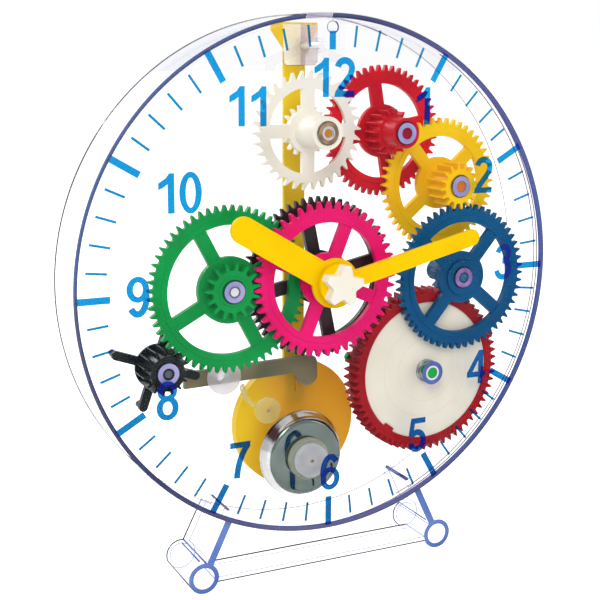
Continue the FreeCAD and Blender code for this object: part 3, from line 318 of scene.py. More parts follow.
class Shader(Nodes):
    """One material's node tree, with what the finishes share."""

    made: ClassVar[dict[str, bpy.types.Material]] = {}

    def __init__(self, name: str) -> None:
        """Starts an empty material.

        Args:
            name: The material's name.
        """
        self.material = bpy.data.materials.new(name)
        self.material.use_nodes = True
        super().__init__(self.material.node_tree)
        Shader.made[name] = self.material

    def ramp(self, factor: Socket, stops: Sequence[tuple[float, Colour]]) -> Socket:
        """Adds a colour ramp.

        Args:
            factor: What the ramp reads.
            stops: Places from 0 to 1 with their colours.

        Returns:
            The colour socket.
        """
        node = self.node("ValToRGB", in_0=factor)
        bar = node.color_ramp
        while len(bar.elements) < len(stops):
            bar.elements.new(1.0)
        for element, (place, colour) in zip(bar.elements, stops):
            element.position = place
            element.color = (*colour, 1.0)
        return node.outputs[0]

    def noise(self, per_metre: float, detail: float = 2.0, stretch: Colour = (1, 1, 1)) -> Socket:
        """Adds noise in the object's own coordinates.

        Args:
            per_metre: How many blobs there are in a metre.
            detail: Octaves of finer noise.
            stretch: Scale along each axis.

        Returns:
            The noise's value socket.
        """
        where = self.node("TexCoord").outputs["Object"]
        mapping = self.node("Mapping", in_Scale=stretch, in_Vector=where)
        texture = self.node("TexNoise", in_Scale=per_metre, in_Detail=detail,
                            in_Vector=mapping.outputs[0])
        return texture.outputs[0]

    def axes(self, kind: str = "Object") -> bpy.types.bpy_prop_collection:
        """Outputs X, Y and Z of a kind of coordinates."""
        return self.node("SeparateXYZ", in_0=self.node("TexCoord").outputs[kind]).outputs

    def bump(self, height: Socket, strength: float, depth: float) -> Socket:
        """Adds a bump.

        Args:
            height: What raises the surface.
            strength: Share of the effect, from 0 to 1.
            depth: Height of the bump in metres.

        Returns:
            The normal socket.
        """
        bump = self.node("Bump", in_Strength=strength, in_Distance=depth, in_Height=height)
        return bump.outputs[0]

    def blend(self, share: Socket | float, under: Socket, over: Socket) -> Socket:
        """Mixes two shaders.

        Args:
            share: Share of the second one.
            under: The first shader.
            over: The second shader.

        Returns:
            The mixed shader.
        """
        return self.node("MixShader", in_0=share, in_1=under, in_2=over).outputs[0]

    def tone(self, share: Socket | float, under: Socket, over: Socket, way: str = "MIX") -> Socket:
        """Mixes two colours.

        Args:
            share: Share of the second one.
            under: The first colour.
            over: The second colour.
            way: Blender's name for the way of mixing.

        Returns:
            The mixed colour.
        """
        # The node's sockets for numbers and for colours have the same names, so they go by number.
        node = self.node("Mix", data_type="RGBA", blend_type=way, in_0=share, in_6=under, in_7=over)
        return node.outputs[2]

    def over_clear(self, surface: Socket, share: Socket | float,
                   tint: Socket | Sequence[float] = WHITE) -> Socket:
        """Lays a surface thinly over clear plastic.

        Args:
            surface: The surface.
            share: How much of it covers the clear plastic.
            tint: Colour of the light that the clear plastic lets through.

        Returns:
            The mixed shader.
        """
        return self.blend(share, self.node("BsdfTransparent", in_Color=tint).outputs[0], surface)

    def lit_through(self, surface: Socket, colour: Socket, share: float) -> Socket:
        """Lets light from behind shine through a surface.

        Args:
            surface: The surface as lit from the front.
            colour: Colour of the light that comes through, filtered at the front and the back.
            share: How much of the surface is lit from behind.

        Returns:
            The mixed surface, or the given one when nothing comes through.
        """
        if not share:
            return surface
        thin = self.node("Gamma", in_Gamma=0.5, in_Color=colour)
        behind = self.node("BsdfTranslucent", in_Color=thin.outputs[0])
        return self.blend(share, surface, behind.outputs[0])

    def finish(self, surface: Socket) -> bpy.types.Material:
        """Joins a surface to the output.

        Args:
            surface: The shader to show.

        Returns:
            The finished material.
        """
        self.node("OutputMaterial", in_Surface=surface)
        return self.material


def dimmed(colour: Colour, share: float) -> Colour:
    """A colour at a share of its brightness."""
    return tuple(channel * share for channel in colour)


# ------------------------------------------------------------------ finishes
@dataclass(frozen=True)
class Coat:
    """A finish, which makes its material the first time it is asked for."""

    name: str

    def material(self) -> bpy.types.Material:
        """Makes the material, or gives the one made before.

        Returns:
            The material.
        """
        if self.name not in Shader.made:
            shader = Shader(self.name)
            shader.finish(self.surface(shader))
        return Shader.made[self.name]

    def surface(self, shader: Shader) -> Socket:
        """Adds the nodes of this finish.

        Args:
            shader: The material's empty tree.

        Returns:
            The shader to show.
        """
        raise NotImplementedError(self.name)


@dataclass(frozen=True)
class MouldedPlastic(Coat):
    """Opaque moulded plastic with a faint mottle and the soft skin of a mould."""

    colour: Colour
    shade: Colour
    roughness: float = 0.32
    gloss: float = 0.2
    grain: float = 0.12
    through: float = 0.0
    mottles: ClassVar[float] = 42.0
    grains: ClassVar[float] = 900.0
    grain_depth: ClassVar[float] = 0.06 * MM
    wear: ClassVar[float] = 0.14

    def surface(self, shader: Shader) -> Socket:
        """Adds the nodes of this finish.

        Args:
            shader: The material's empty tree.

        Returns:
            The shader to show.
        """
        colour = shader.ramp(shader.noise(self.mottles, 3.0),
                             ((0.36, self.shade), (0.62, self.colour)))
        fine = shader.noise(self.grains)
        body = shader.node(
            "BsdfPrincipled", in_Specular_IOR_Level=self.gloss, in_Base_Color=colour,
            in_Roughness=shader.math("MULTIPLY_ADD", fine, self.wear,
                                     self.roughness - self.wear / 2),
            in_Normal=shader.bump(fine, self.grain, self.grain_depth))
        return shader.lit_through(body.outputs[0], colour, self.through)


@dataclass(frozen=True)
class ClearPlastic(Coat):
    """Clear moulding: open face on, and blue-grey where it is seen along its surface."""

    tint: Colour
    haze: float = 0.008
    rim: float = 0.6
    sharpness: float = 6.5
    streaks: ClassVar[float] = 30.0

    def surface(self, shader: Shader) -> Socket:
        """Adds the nodes of this finish.

        Args:
            shader: The material's empty tree.

        Returns:
            The shader to show.
        """
        pale = tuple(min(1.0, c * 1.6 + 0.12) for c in self.tint)
        colour = shader.ramp(shader.noise(self.streaks), ((0.3, self.tint), (0.7, pale)))
        body = shader.node("BsdfPrincipled", in_Roughness=0.08, in_IOR=1.49, in_Base_Color=colour)
        facing = shader.node("LayerWeight", in_Blend=0.5).outputs["Facing"]
        glance = shader.math("POWER", facing, self.sharpness)
        share = shader.math("MULTIPLY_ADD", glance, self.rim, self.haze)
        return shader.over_clear(body.outputs[0], share)


@dataclass(frozen=True)
class TintedEdge(Coat):
    """Edge of clear plastic that gathers light: streaky, between a pale and a deep tint."""

    deep: Colour
    pale: Colour
    cover: float = 0.9
    streak: float = 26.0
    roughness: float = 0.25

    def surface(self, shader: Shader) -> Socket:
        """Adds the nodes of this finish.

        Args:
            shader: The material's empty tree.

        Returns:
            The shader to show.
        """
        colour = shader.ramp(shader.noise(self.streak, 3.0), ((0.38, self.deep), (0.6, self.pale)))
        body = shader.node("BsdfPrincipled", in_Roughness=self.roughness, in_Base_Color=colour)
        return shader.over_clear(body.outputs[0], self.cover, (*self.pale, 1.0))


@dataclass(frozen=True)
class RimTint(Coat):
    """Tint of the cover's thick corner, which turns from navy to violet round the dial."""

    middle: float
    inner: float
    outer: float
    near_stops: Stops
    far_stops: Stops
    cover: float = 0.94
    wander: ClassVar[float] = 0.05

    def surface(self, shader: Shader) -> Socket:
        """Adds the nodes of this finish.

        Args:
            shader: The material's empty tree.

        Returns:
            The shader to show.
        """
        axes = shader.axes()
        rise = shader.math("SUBTRACT", axes["Z"], self.middle)
        turn = shader.math("ARCTAN2", rise, axes["X"])
        share = shader.math("MULTIPLY_ADD", turn, 0.5 / math.pi, 0.5)
        wander = shader.math("MULTIPLY_ADD", shader.noise(60.0, 3.0), self.wander, -self.wander / 2)
        place = shader.math("ADD", share, wander)
        squares = [shader.math("MULTIPLY", way, way) for way in (rise, axes["X"])]
        reach = shader.math("SQRT", shader.math("ADD", *squares))
        across = shader.node("MapRange", in_From_Min=self.inner, in_From_Max=self.outer, in_0=reach)
        tone = shader.tone(across.outputs[0], shader.ramp(place, self.near_stops),
                           shader.ramp(place, self.far_stops))
        body = shader.node("BsdfPrincipled", in_Roughness=0.3, in_Specular_IOR_Level=0.15,
                           in_Base_Color=tone)
        return shader.over_clear(body.outputs[0], self.cover, (0.7, 0.7, 0.9, 1.0))


@dataclass(frozen=True)
class AmberPlastic(Coat):
    """Amber moulding that is yellow towards its left side and orange towards its right."""

    yellow: Colour
    orange: Colour
    left: float = -0.031
    right: float = 0.004
    roughness: float = 0.3
    through: float = 0.34
    drift: ClassVar[float] = 0.022

    def surface(self, shader: Shader) -> Socket:
        """Adds the nodes of this finish.

        Args:
            shader: The material's empty tree.

        Returns:
            The shader to show.
        """
        clouds = shader.noise(55.0, 3.0, (1.0, 1.0, 0.45))
        drift = shader.math("MULTIPLY_ADD", clouds, self.drift, -self.drift / 2)
        place = shader.node("MapRange", in_From_Min=self.left, in_From_Max=self.right,
                            in_0=shader.math("ADD", shader.axes()["X"], drift))
        colour = shader.ramp(place.outputs[0], ((0.1, self.yellow), (0.7, self.orange)))
        body = shader.node("BsdfPrincipled", in_Roughness=self.roughness, in_Specular_IOR_Level=0.12,
                           in_Base_Color=colour,
                           in_Normal=shader.bump(shader.noise(800.0), 0.1, 0.05 * MM))
        return shader.lit_through(body.outputs[0], colour, self.through)


@dataclass(frozen=True)
class FrostedPlastic(Coat):
    """Milky clear moulding that lets a share of what is behind it through."""

    milk: Colour
    cover: float = 0.45
    roughness: float = 0.3
    edge_gain: float = 0.4
    glow: ClassVar[float] = 0.55

    def surface(self, shader: Shader) -> Socket:
        """Adds the nodes of this finish.

        Args:
            shader: The material's empty tree.

        Returns:
            The shader to show.
        """
        dim = dimmed(self.milk, 0.88)
        milk = shader.ramp(shader.noise(160.0, 3.0), ((0.35, dim), (0.65, self.milk)))
        body = shader.node("BsdfPrincipled", in_Roughness=self.roughness, in_Specular_IOR_Level=0.2,
                           in_Base_Color=milk)
        through = shader.node("BsdfTranslucent", in_Color=milk)
        frost = shader.blend(self.glow, body.outputs[0], through.outputs[0])
        facing = shader.node("LayerWeight", in_Blend=0.5).outputs["Facing"]
        share = shader.math("MULTIPLY_ADD", facing, self.edge_gain,
                            max(0.0, self.cover - self.edge_gain / 5))
        share.node.use_clamp = True
        return shader.over_clear(frost, share, (0.98, 0.98, 0.99, 1.0))


@dataclass(frozen=True)
class PrintedInk(Coat):
    """Thin blue screen ink, which filters what is behind it; its filter is paler high on the dial and
    deeper low on it, as painted light and shade.
    """

    high_filter: Colour
    low_filter: Colour
    pigment: Colour
    cover: float = 0.163
    top: float = 0.236
    bottom: float = 0.046

    def surface(self, shader: Shader) -> Socket:
        """Adds the nodes of this finish.

        Args:
            shader: The material's empty tree.

        Returns:
            The shader to show.
        """
        # Painted light and shade: the filter runs from deep at the bottom of the dial to pale at the
        # top.
        height = shader.node("MapRange", in_From_Min=self.bottom, in_From_Max=self.top,
                             in_0=shader.axes()["Z"])
        film = shader.ramp(height.outputs[0], ((0.0, self.low_filter), (1.0, self.high_filter)))
        colour = shader.ramp(shader.noise(700.0),
                             ((0.4, dimmed(self.pigment, 0.85)), (0.6, self.pigment)))
        pigment = shader.node("BsdfPrincipled", in_Roughness=0.45, in_Base_Color=colour)
        return shader.over_clear(pigment.outputs[0], self.cover, film)


@dataclass(frozen=True)
class BrightSteel(Coat):
    """Plated or turned steel with a few faint rubs, and where given, a painted dark reflection on faces
    that turn upward.
    """

    colour: Colour
    roughness: float = 0.14
    rub: float = 0.12
    # Colour of a painted dark reflection on faces that turn upward, or None for none.
    dusk: Colour | None = None

    def surface(self, shader: Shader) -> Socket:
        """Adds the nodes of this finish.

        Args:
            shader: The material's empty tree.

        Returns:
            The shader to show.
        """
        dim = dimmed(self.colour, 0.78)
        colour = shader.ramp(shader.noise(70.0, 4.0), ((0.35, dim), (0.65, self.colour)))
        # Painted dark reflection: a dark band on faces whose normals point partly upward.
        if self.dusk:
            band = ((0.4, WHITE[:3]), (0.5, self.dusk), (0.66, self.dusk), (0.76, WHITE[:3]))
            dusk = shader.ramp(shader.axes("Normal")["Z"], band)
            colour = shader.tone(1.0, colour, dusk, "MULTIPLY")
        rubs = shader.noise(320.0, 4.0, (1.0, 1.0, 0.15))
        rough = shader.math("MULTIPLY_ADD", rubs, self.rub, self.roughness - self.rub / 2)
        body = shader.node("BsdfPrincipled", in_Metallic=1.0, in_Base_Color=colour, in_Roughness=rough)
        return body.outputs[0]


class Finish(Enum):
    """Every finish of the clock."""

    GREEN = MouldedPlastic("green_moulding", linear(0, 160, 72), linear(0, 142, 62), gloss=0.08)
    PINK = MouldedPlastic("pink_moulding", linear(244, 14, 118), linear(230, 10, 104), gloss=0.08)
    BLUE = MouldedPlastic("blue_moulding", linear(0, 88, 138), linear(0, 76, 124), gloss=0.06)
    YELLOW = MouldedPlastic("yellow_moulding", linear(255, 212, 0), linear(254, 196, 0), gloss=0.08)
    HAND = MouldedPlastic("hand_moulding", linear(255, 214, 0), linear(255, 204, 0), 0.36, 0.06)
    ROD = MouldedPlastic("rod_moulding", linear(255, 226, 0), linear(255, 214, 8), 0.34, 0.08,
                         through=0.12)
    BOB = AmberPlastic("bob_moulding", linear(255, 222, 0), linear(255, 196, 24))
    RED = MouldedPlastic("red_moulding", linear(226, 20, 34), linear(200, 14, 30), gloss=0.08)
    DRUM_RED = MouldedPlastic("drum_red_moulding", linear(176, 14, 20), linear(150, 10, 18), gloss=0.08)
    BROWN = MouldedPlastic("brown_moulding", linear(50, 22, 20), linear(28, 13, 13), 0.3, 0.16)
    BLACK = MouldedPlastic("black_moulding", linear(26, 34, 26), linear(10, 15, 11), 0.3, 0.14)
    CREAM = MouldedPlastic("cream_moulding", linear(254, 250, 238), linear(250, 242, 224), gloss=0.1)
    DISC = MouldedPlastic("disc_moulding", linear(246, 240, 223), linear(238, 232, 215), 0.42, 0.08)
    GREY = MouldedPlastic("grey_moulding", linear(150, 138, 106), linear(108, 108, 84), 0.4, 0.1)
    KEY_GREEN = MouldedPlastic("key_green_moulding", linear(0, 176, 60), linear(0, 150, 52), gloss=0.1)
    CLEAR = ClearPlastic("clear_moulding", linear(150, 160, 205))
    CLEAR_EDGE = TintedEdge("clear_moulding_edge", linear(80, 88, 112), linear(160, 168, 200), 0.22)
    STAND_EDGE = TintedEdge("stand_moulding_edge", linear(70, 84, 130), linear(140, 156, 206), 0.16)
    OUTLINE = TintedEdge("thin_edge_line", linear(22, 22, 26), linear(44, 44, 52), 0.98, 40.0)
    JOINT = TintedEdge("joint_line", linear(120, 98, 128), linear(176, 160, 176), 0.34, 25.0)
    STROKE = TintedEdge("leg_joint_line", linear(36, 52, 130), linear(96, 110, 190), 0.9, 90.0)
    BAND = RimTint(
        "rim_band_tint", 0.1395, 0.1156, 0.1176,
        ((0.0, linear(44, 70, 136)), (0.13, linear(34, 50, 106)), (0.22, linear(92, 98, 164)),
         (0.32, linear(92, 98, 164)), (0.4, linear(58, 80, 150)), (0.54, linear(76, 98, 178)),
         (0.66, linear(112, 112, 182)), (0.73, linear(48, 56, 110)), (0.88, linear(54, 88, 152))),
        ((0.0, linear(120, 116, 130)), (0.13, linear(66, 66, 110)), (0.22, linear(112, 108, 142)),
         (0.38, linear(84, 92, 140)), (0.54, linear(92, 108, 160)), (0.64, linear(78, 74, 124)),
         (0.73, linear(84, 88, 122)), (0.88, linear(108, 120, 172))))
    SLEEVE = TintedEdge("sleeve_edge", linear(110, 124, 140), linear(224, 226, 232), 0.55, 240.0)
    NOTCH = TintedEdge("notch_tint", linear(206, 196, 220), linear(230, 224, 236), 0.5, 40.0)
    LEG = TintedEdge("leg_edge", linear(54, 92, 178), linear(98, 132, 206), 0.94, 30.0)
    SOCKET = TintedEdge("socket_edge", linear(150, 146, 208), linear(178, 174, 226), 0.9, 120.0)
    SOCKET_MAUVE = TintedEdge("socket_edge_mauve", linear(120, 84, 150), linear(160, 120, 190),
                              0.9, 200.0)
    SOCKET_BLUE = TintedEdge("socket_edge_blue", linear(14, 76, 140), linear(70, 100, 180), 0.94, 90.0)
    # The tan ring in the escape socket is painted shade of the recess round the escape arbor.
    SOCKET_TAN = TintedEdge("socket_edge_tan_painted_shade", linear(124, 92, 62), linear(176, 140, 96), 0.94, 160.0)
    # The END_ finishes colour the steel arbor ends with painted reflections and highlights; END_WHITE
    # also colours the socket lips.
    END_RED = MouldedPlastic("end_red", linear(170, 14, 40), linear(140, 10, 36), gloss=0.1)
    END_ORANGE = MouldedPlastic("end_orange", linear(214, 124, 44), linear(190, 104, 50), gloss=0.1)
    END_AMBER = MouldedPlastic("end_amber", linear(206, 150, 50), linear(180, 120, 48), gloss=0.1)
    END_GREY = MouldedPlastic("end_grey", linear(110, 112, 134), linear(56, 60, 76), 0.2, 0.4)
    END_TEAL = MouldedPlastic("end_teal", linear(20, 70, 110), linear(130, 150, 170), 0.2, 0.4)
    END_WHITE = MouldedPlastic("end_white", linear(236, 234, 240), linear(200, 200, 214), gloss=0.2)
    MILK = FrostedPlastic("milky_moulding", linear(248, 249, 254), 0.86)
    MILK_SIDE = FrostedPlastic("milky_green_moulding", linear(228, 232, 214), 0.76)
    MILK_THIN = FrostedPlastic("thin_milky_moulding", linear(250, 244, 246), 0.56, 0.45, 0.2)
    MILK_FAINT = FrostedPlastic("faint_milky_moulding", linear(246, 240, 230), 0.05, edge_gain=0.05)
    SCREEN = FrostedPlastic("screen_milk", linear(255, 253, 240), 0.64, edge_gain=0.0)
    SCREEN_VIOLET = FrostedPlastic("screen_violet", linear(222, 212, 250), 0.42, edge_gain=0.0)
    SCREEN_PINK = FrostedPlastic("screen_pink", linear(244, 232, 240), 0.42, edge_gain=0.0)
    SPRING_MILK = FrostedPlastic("spring_milk", linear(232, 220, 150), 0.5)
    # The first two colours of each ink are its filter, painted paler high on the dial and deeper low on
    # it as painted light and shade.
    INK = PrintedInk("dial_ink", (0.0, 0.70, 0.87), (0.0, 0.41, 0.55), (0.04, 0.02, 0.88), 0.18)
    FINE_INK = PrintedInk("minute_ink", (0.0, 0.6, 0.78), (0.0, 0.4, 0.56), (0.03, 0.1, 0.6))
    PALE_STEEL = BrightSteel("pale_pin_steel", (0.97, 0.97, 0.97), 0.4, 0.04)
    DOT = MouldedPlastic("gate_mark", linear(150, 134, 100), linear(112, 98, 72), gloss=0.1)
    GROOVE = MouldedPlastic("disc_groove", linear(236, 230, 212), linear(230, 224, 206), 0.42, 0.08)
    STEEL = BrightSteel("arbor_steel", (0.5, 0.5, 0.53), 0.3)
    SPRING = BrightSteel("spring_strip_steel", (0.34, 0.35, 0.4), 0.3)
    # The bell face's dark colour is a painted dark reflection on the same plating as the rim.
    BELL_FACE = BrightSteel("bell_face_plating", (0.15, 0.185, 0.17), 0.05, 0.05)
    # The bell rim's last colour is a painted dark reflection along its upward faces.
    BELL_RIM = BrightSteel("bell_rim_plating", (0.63, 0.63, 0.62), 0.12, 0.06, (0.12, 0.05, 0.05))

    def material(self) -> bpy.types.Material:
        """Material of this finish."""
        return self.value.material()


@dataclass(frozen=True)
class SoftEdges:
    """Small rounding of a moulding's edges, which catches the light as a real edge does."""

    width: float = 0.16
    segments: int = 2
    turn: float = 28.0

    def soften(self, piece: Piece, edge_slot: int = -1) -> None:
        """Rounds a piece's edges.

        Args:
            piece: The piece.
            edge_slot: Material slot of the rounded edges, or -1 for the face's own.
        """
        weld = piece.modifiers.new("Weld", "WELD")
        weld.merge_threshold = 1e-6
        bevel = piece.modifiers.new("SoftEdges", "BEVEL")
        bevel.width = self.width * MM
        bevel.segments = self.segments
        bevel.limit_method = "ANGLE"
        bevel.angle_limit = math.radians(self.turn)
        bevel.use_clamp_overlap = True
        bevel.material = edge_slot
        weighted = piece.modifiers.new("Shading", "WEIGHTED_NORMAL")
        weighted.keep_sharp = False


@dataclass
class Workshop:
    """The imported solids, the dial's place and the tools that all sub-assemblies share."""

    nodes: dict[str, Piece]
    place: DialPlace

    def dress(self, names: Iterable[str], finish: Finish, edges: SoftEdges | None = SoftEdges(),
              edge_finish: Finish | None = None) -> None:
        """Gives solids a finish.

        Args:
            names: The solids.
            finish: Their finish.
            edges: How their edges are rounded, or None to leave them sharp.
            edge_finish: Finish of the rounded edges, or None for the faces' own.
        """
        coats = [coat for coat in (finish, edge_finish) if coat is not None]
        for name in names:
            solid = self.nodes[name]
            solid.data.materials.clear()
            for coat in coats:
                solid.data.materials.append(coat.material())
            for face in solid.data.polygons:
                face.use_smooth = True
                face.material_index = 0
            if edges is not None:
                edges.soften(solid, 1 if edge_finish else -1)
            LOG.info("%s: %s", name, " with ".join(coat.name.lower() for coat in coats))

    def add(self, name: str, build: bmesh.types.BMesh, finishes: Sequence[Finish], body: str,
            slot: str) -> Piece:
        """Turns a built shape into a piece that rides on a body.

        Args:
            name: Name of the piece.
            build: Its shape, which is freed.
            finishes: Its finishes.
            body: The body it moves with.
            slot: The record's material slot; not used.

        Returns:
            The new piece.
        """
        bmesh.ops.recalc_face_normals(build, faces=build.faces[:])
        mesh = bpy.data.meshes.new(name)
        build.to_mesh(mesh)
        build.free()
        for finish in finishes:
            mesh.materials.append(finish.material())
        piece = placed(name, mesh)
        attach(piece, body)
        LOG.info("%s: %d faces on %s", name, len(mesh.polygons), body)
        return piece

    def film(self, name: str, faces: list[Loop], front: float, back: float, finish: Finish,
             body: str, slot: str, holes: Sequence[Loop] = ()) -> Piece:
        """Makes a thin flat piece from faces drawn on the dial, joined where they overlap.

        Args:
            name: Name of the piece.
            faces: Faces as loops of points.
            front: Depth of its front.
            back: Depth of its back.
            finish: Its finish.
            body: The body it moves with.
            slot: The record's material slot.
            holes: Loops that are cut out of the faces.

        Returns:
            The new piece.
        """
        points: list[Vector] = []
        loops: list[list[int]] = []
        for face in [*faces, *holes]:
            start = len(points)
            area = sum(a[0] * b[1] - b[0] * a[1] for a, b in zip(face, face[1:] + face[:1]))
            ordered = face if area > 0 else face[::-1]
            points.extend(Vector(p) for p in ordered)
            loops.append(list(range(start, len(points))))
        spots, _, cells, _, _, from_faces = delaunay_2d_cdt(points, [], loops, 1, 1e-5)
        build = bmesh.new()
        corners = [build.verts.new(self.place.point(s.x, back, s.y)) for s in spots]
        for cell, owners in zip(cells, from_faces):
            if owners and max(owners) < len(faces):
                build.faces.new([corners[i] for i in reversed(cell)])
        bmesh.ops.delete(build, geom=[v for v in build.verts if not v.link_faces], context="VERTS")
        made = bmesh.ops.extrude_face_region(build, geom=build.faces[:])
        moved = [part for part in made["geom"] if isinstance(part, bmesh.types.BMVert)]
        bmesh.ops.translate(build, vec=Vector((0, (front - back) * MM, 0)), verts=moved)
        return self.add(name, build, (finish,), body, slot)

    def turned_piece(self, name: str, centre: Point, profile: Sequence[tuple[float, float, int]],
                     finishes: Sequence[Finish], body: str, slot: str, steps: int = 96,
                     sweep: Point = (0.0, 360.0)) -> Piece:
        """Makes a piece turned about a line along the arbors.

        Args:
            name: Name of the piece.
            centre: Where the line meets the dial.
            profile: Radius, depth and finish number of each ring of points, in order.
            finishes: The finishes that the numbers name.
            body: The body it moves with.
            slot: The record's material slot.
            steps: Number of runs round it.
            sweep: Directions in degrees where it starts and ends.

        Returns:
            The new piece.
        """
        build = bmesh.new()
        rings = []
        start, end = sweep
        for radius, depth, _ in profile:
            ring = []
            for i in range(steps + 1):
                x, z = polar(centre, radius, start + (end - start) * i / steps)
                ring.append(build.verts.new(self.place.point(x, depth, z)))
            rings.append(ring)
        for (low, high), (_, _, number) in zip(zip(rings, rings[1:]), profile):
            for i in range(steps):
                face = build.faces.new((low[i], low[i + 1], high[i + 1], high[i]))
                face.material_index = number
                face.smooth = True
        if end - start < 360.0:
            for i in (0, steps):
                build.faces.new([ring[i] for ring in rings[:-1]])
        bmesh.ops.remove_doubles(build, verts=build.verts, dist=1e-7)
        return self.add(name, build, finishes, body, slot)

    def bead(self, name: str, path: Sequence[Spot], radius: float, finish: Finish, body: str,
             slot: str, closed: bool = False) -> Piece:
        """Makes a fine round bead along a path.

        Args:
            name: Name of the piece.
            path: Points of the path, as x, y and z about the middle of the dial.
            radius: Radius of the bead.
            finish: Its finish.
            body: The body it moves with.
            slot: The record's material slot.
            closed: Whether the path runs back to its start.

        Returns:
            The new piece.
        """
        spots = [self.place.point(*p) for p in path]
        last = len(spots) - 1
        sides = 6
        turns = [math.tau * k / sides for k in range(sides)]
        build = bmesh.new()
        rings = []
        for i, here in enumerate(spots):
            before = spots[i - 1] if closed or i else here
            after = spots[(i + 1) % len(spots)] if closed or i < last else here
            along = (after - before).normalized()
            aside = Vector((0.31, 0.17, 0.93)) if abs(along.z) < 0.8 else Vector((1, 0, 0))
            across = along.cross(aside).normalized()
            up = across.cross(along)
            ways = [across * math.cos(a) + up * math.sin(a) for a in turns]
            rings.append([build.verts.new(here + way * radius * MM) for way in ways])
        pairs = list(zip(rings, rings[1:])) + ([(rings[-1], rings[0])] if closed else [])
        for low, high in pairs:
            for k in range(sides):
                beside = (k + 1) % sides
                face = build.faces.new((low[k], low[beside], high[beside], high[k]))
                face.smooth = True
        if not closed:
            build.faces.new(rings[0])
            build.faces.new(rings[-1])
        return self.add(name, build, (finish,), body, slot)


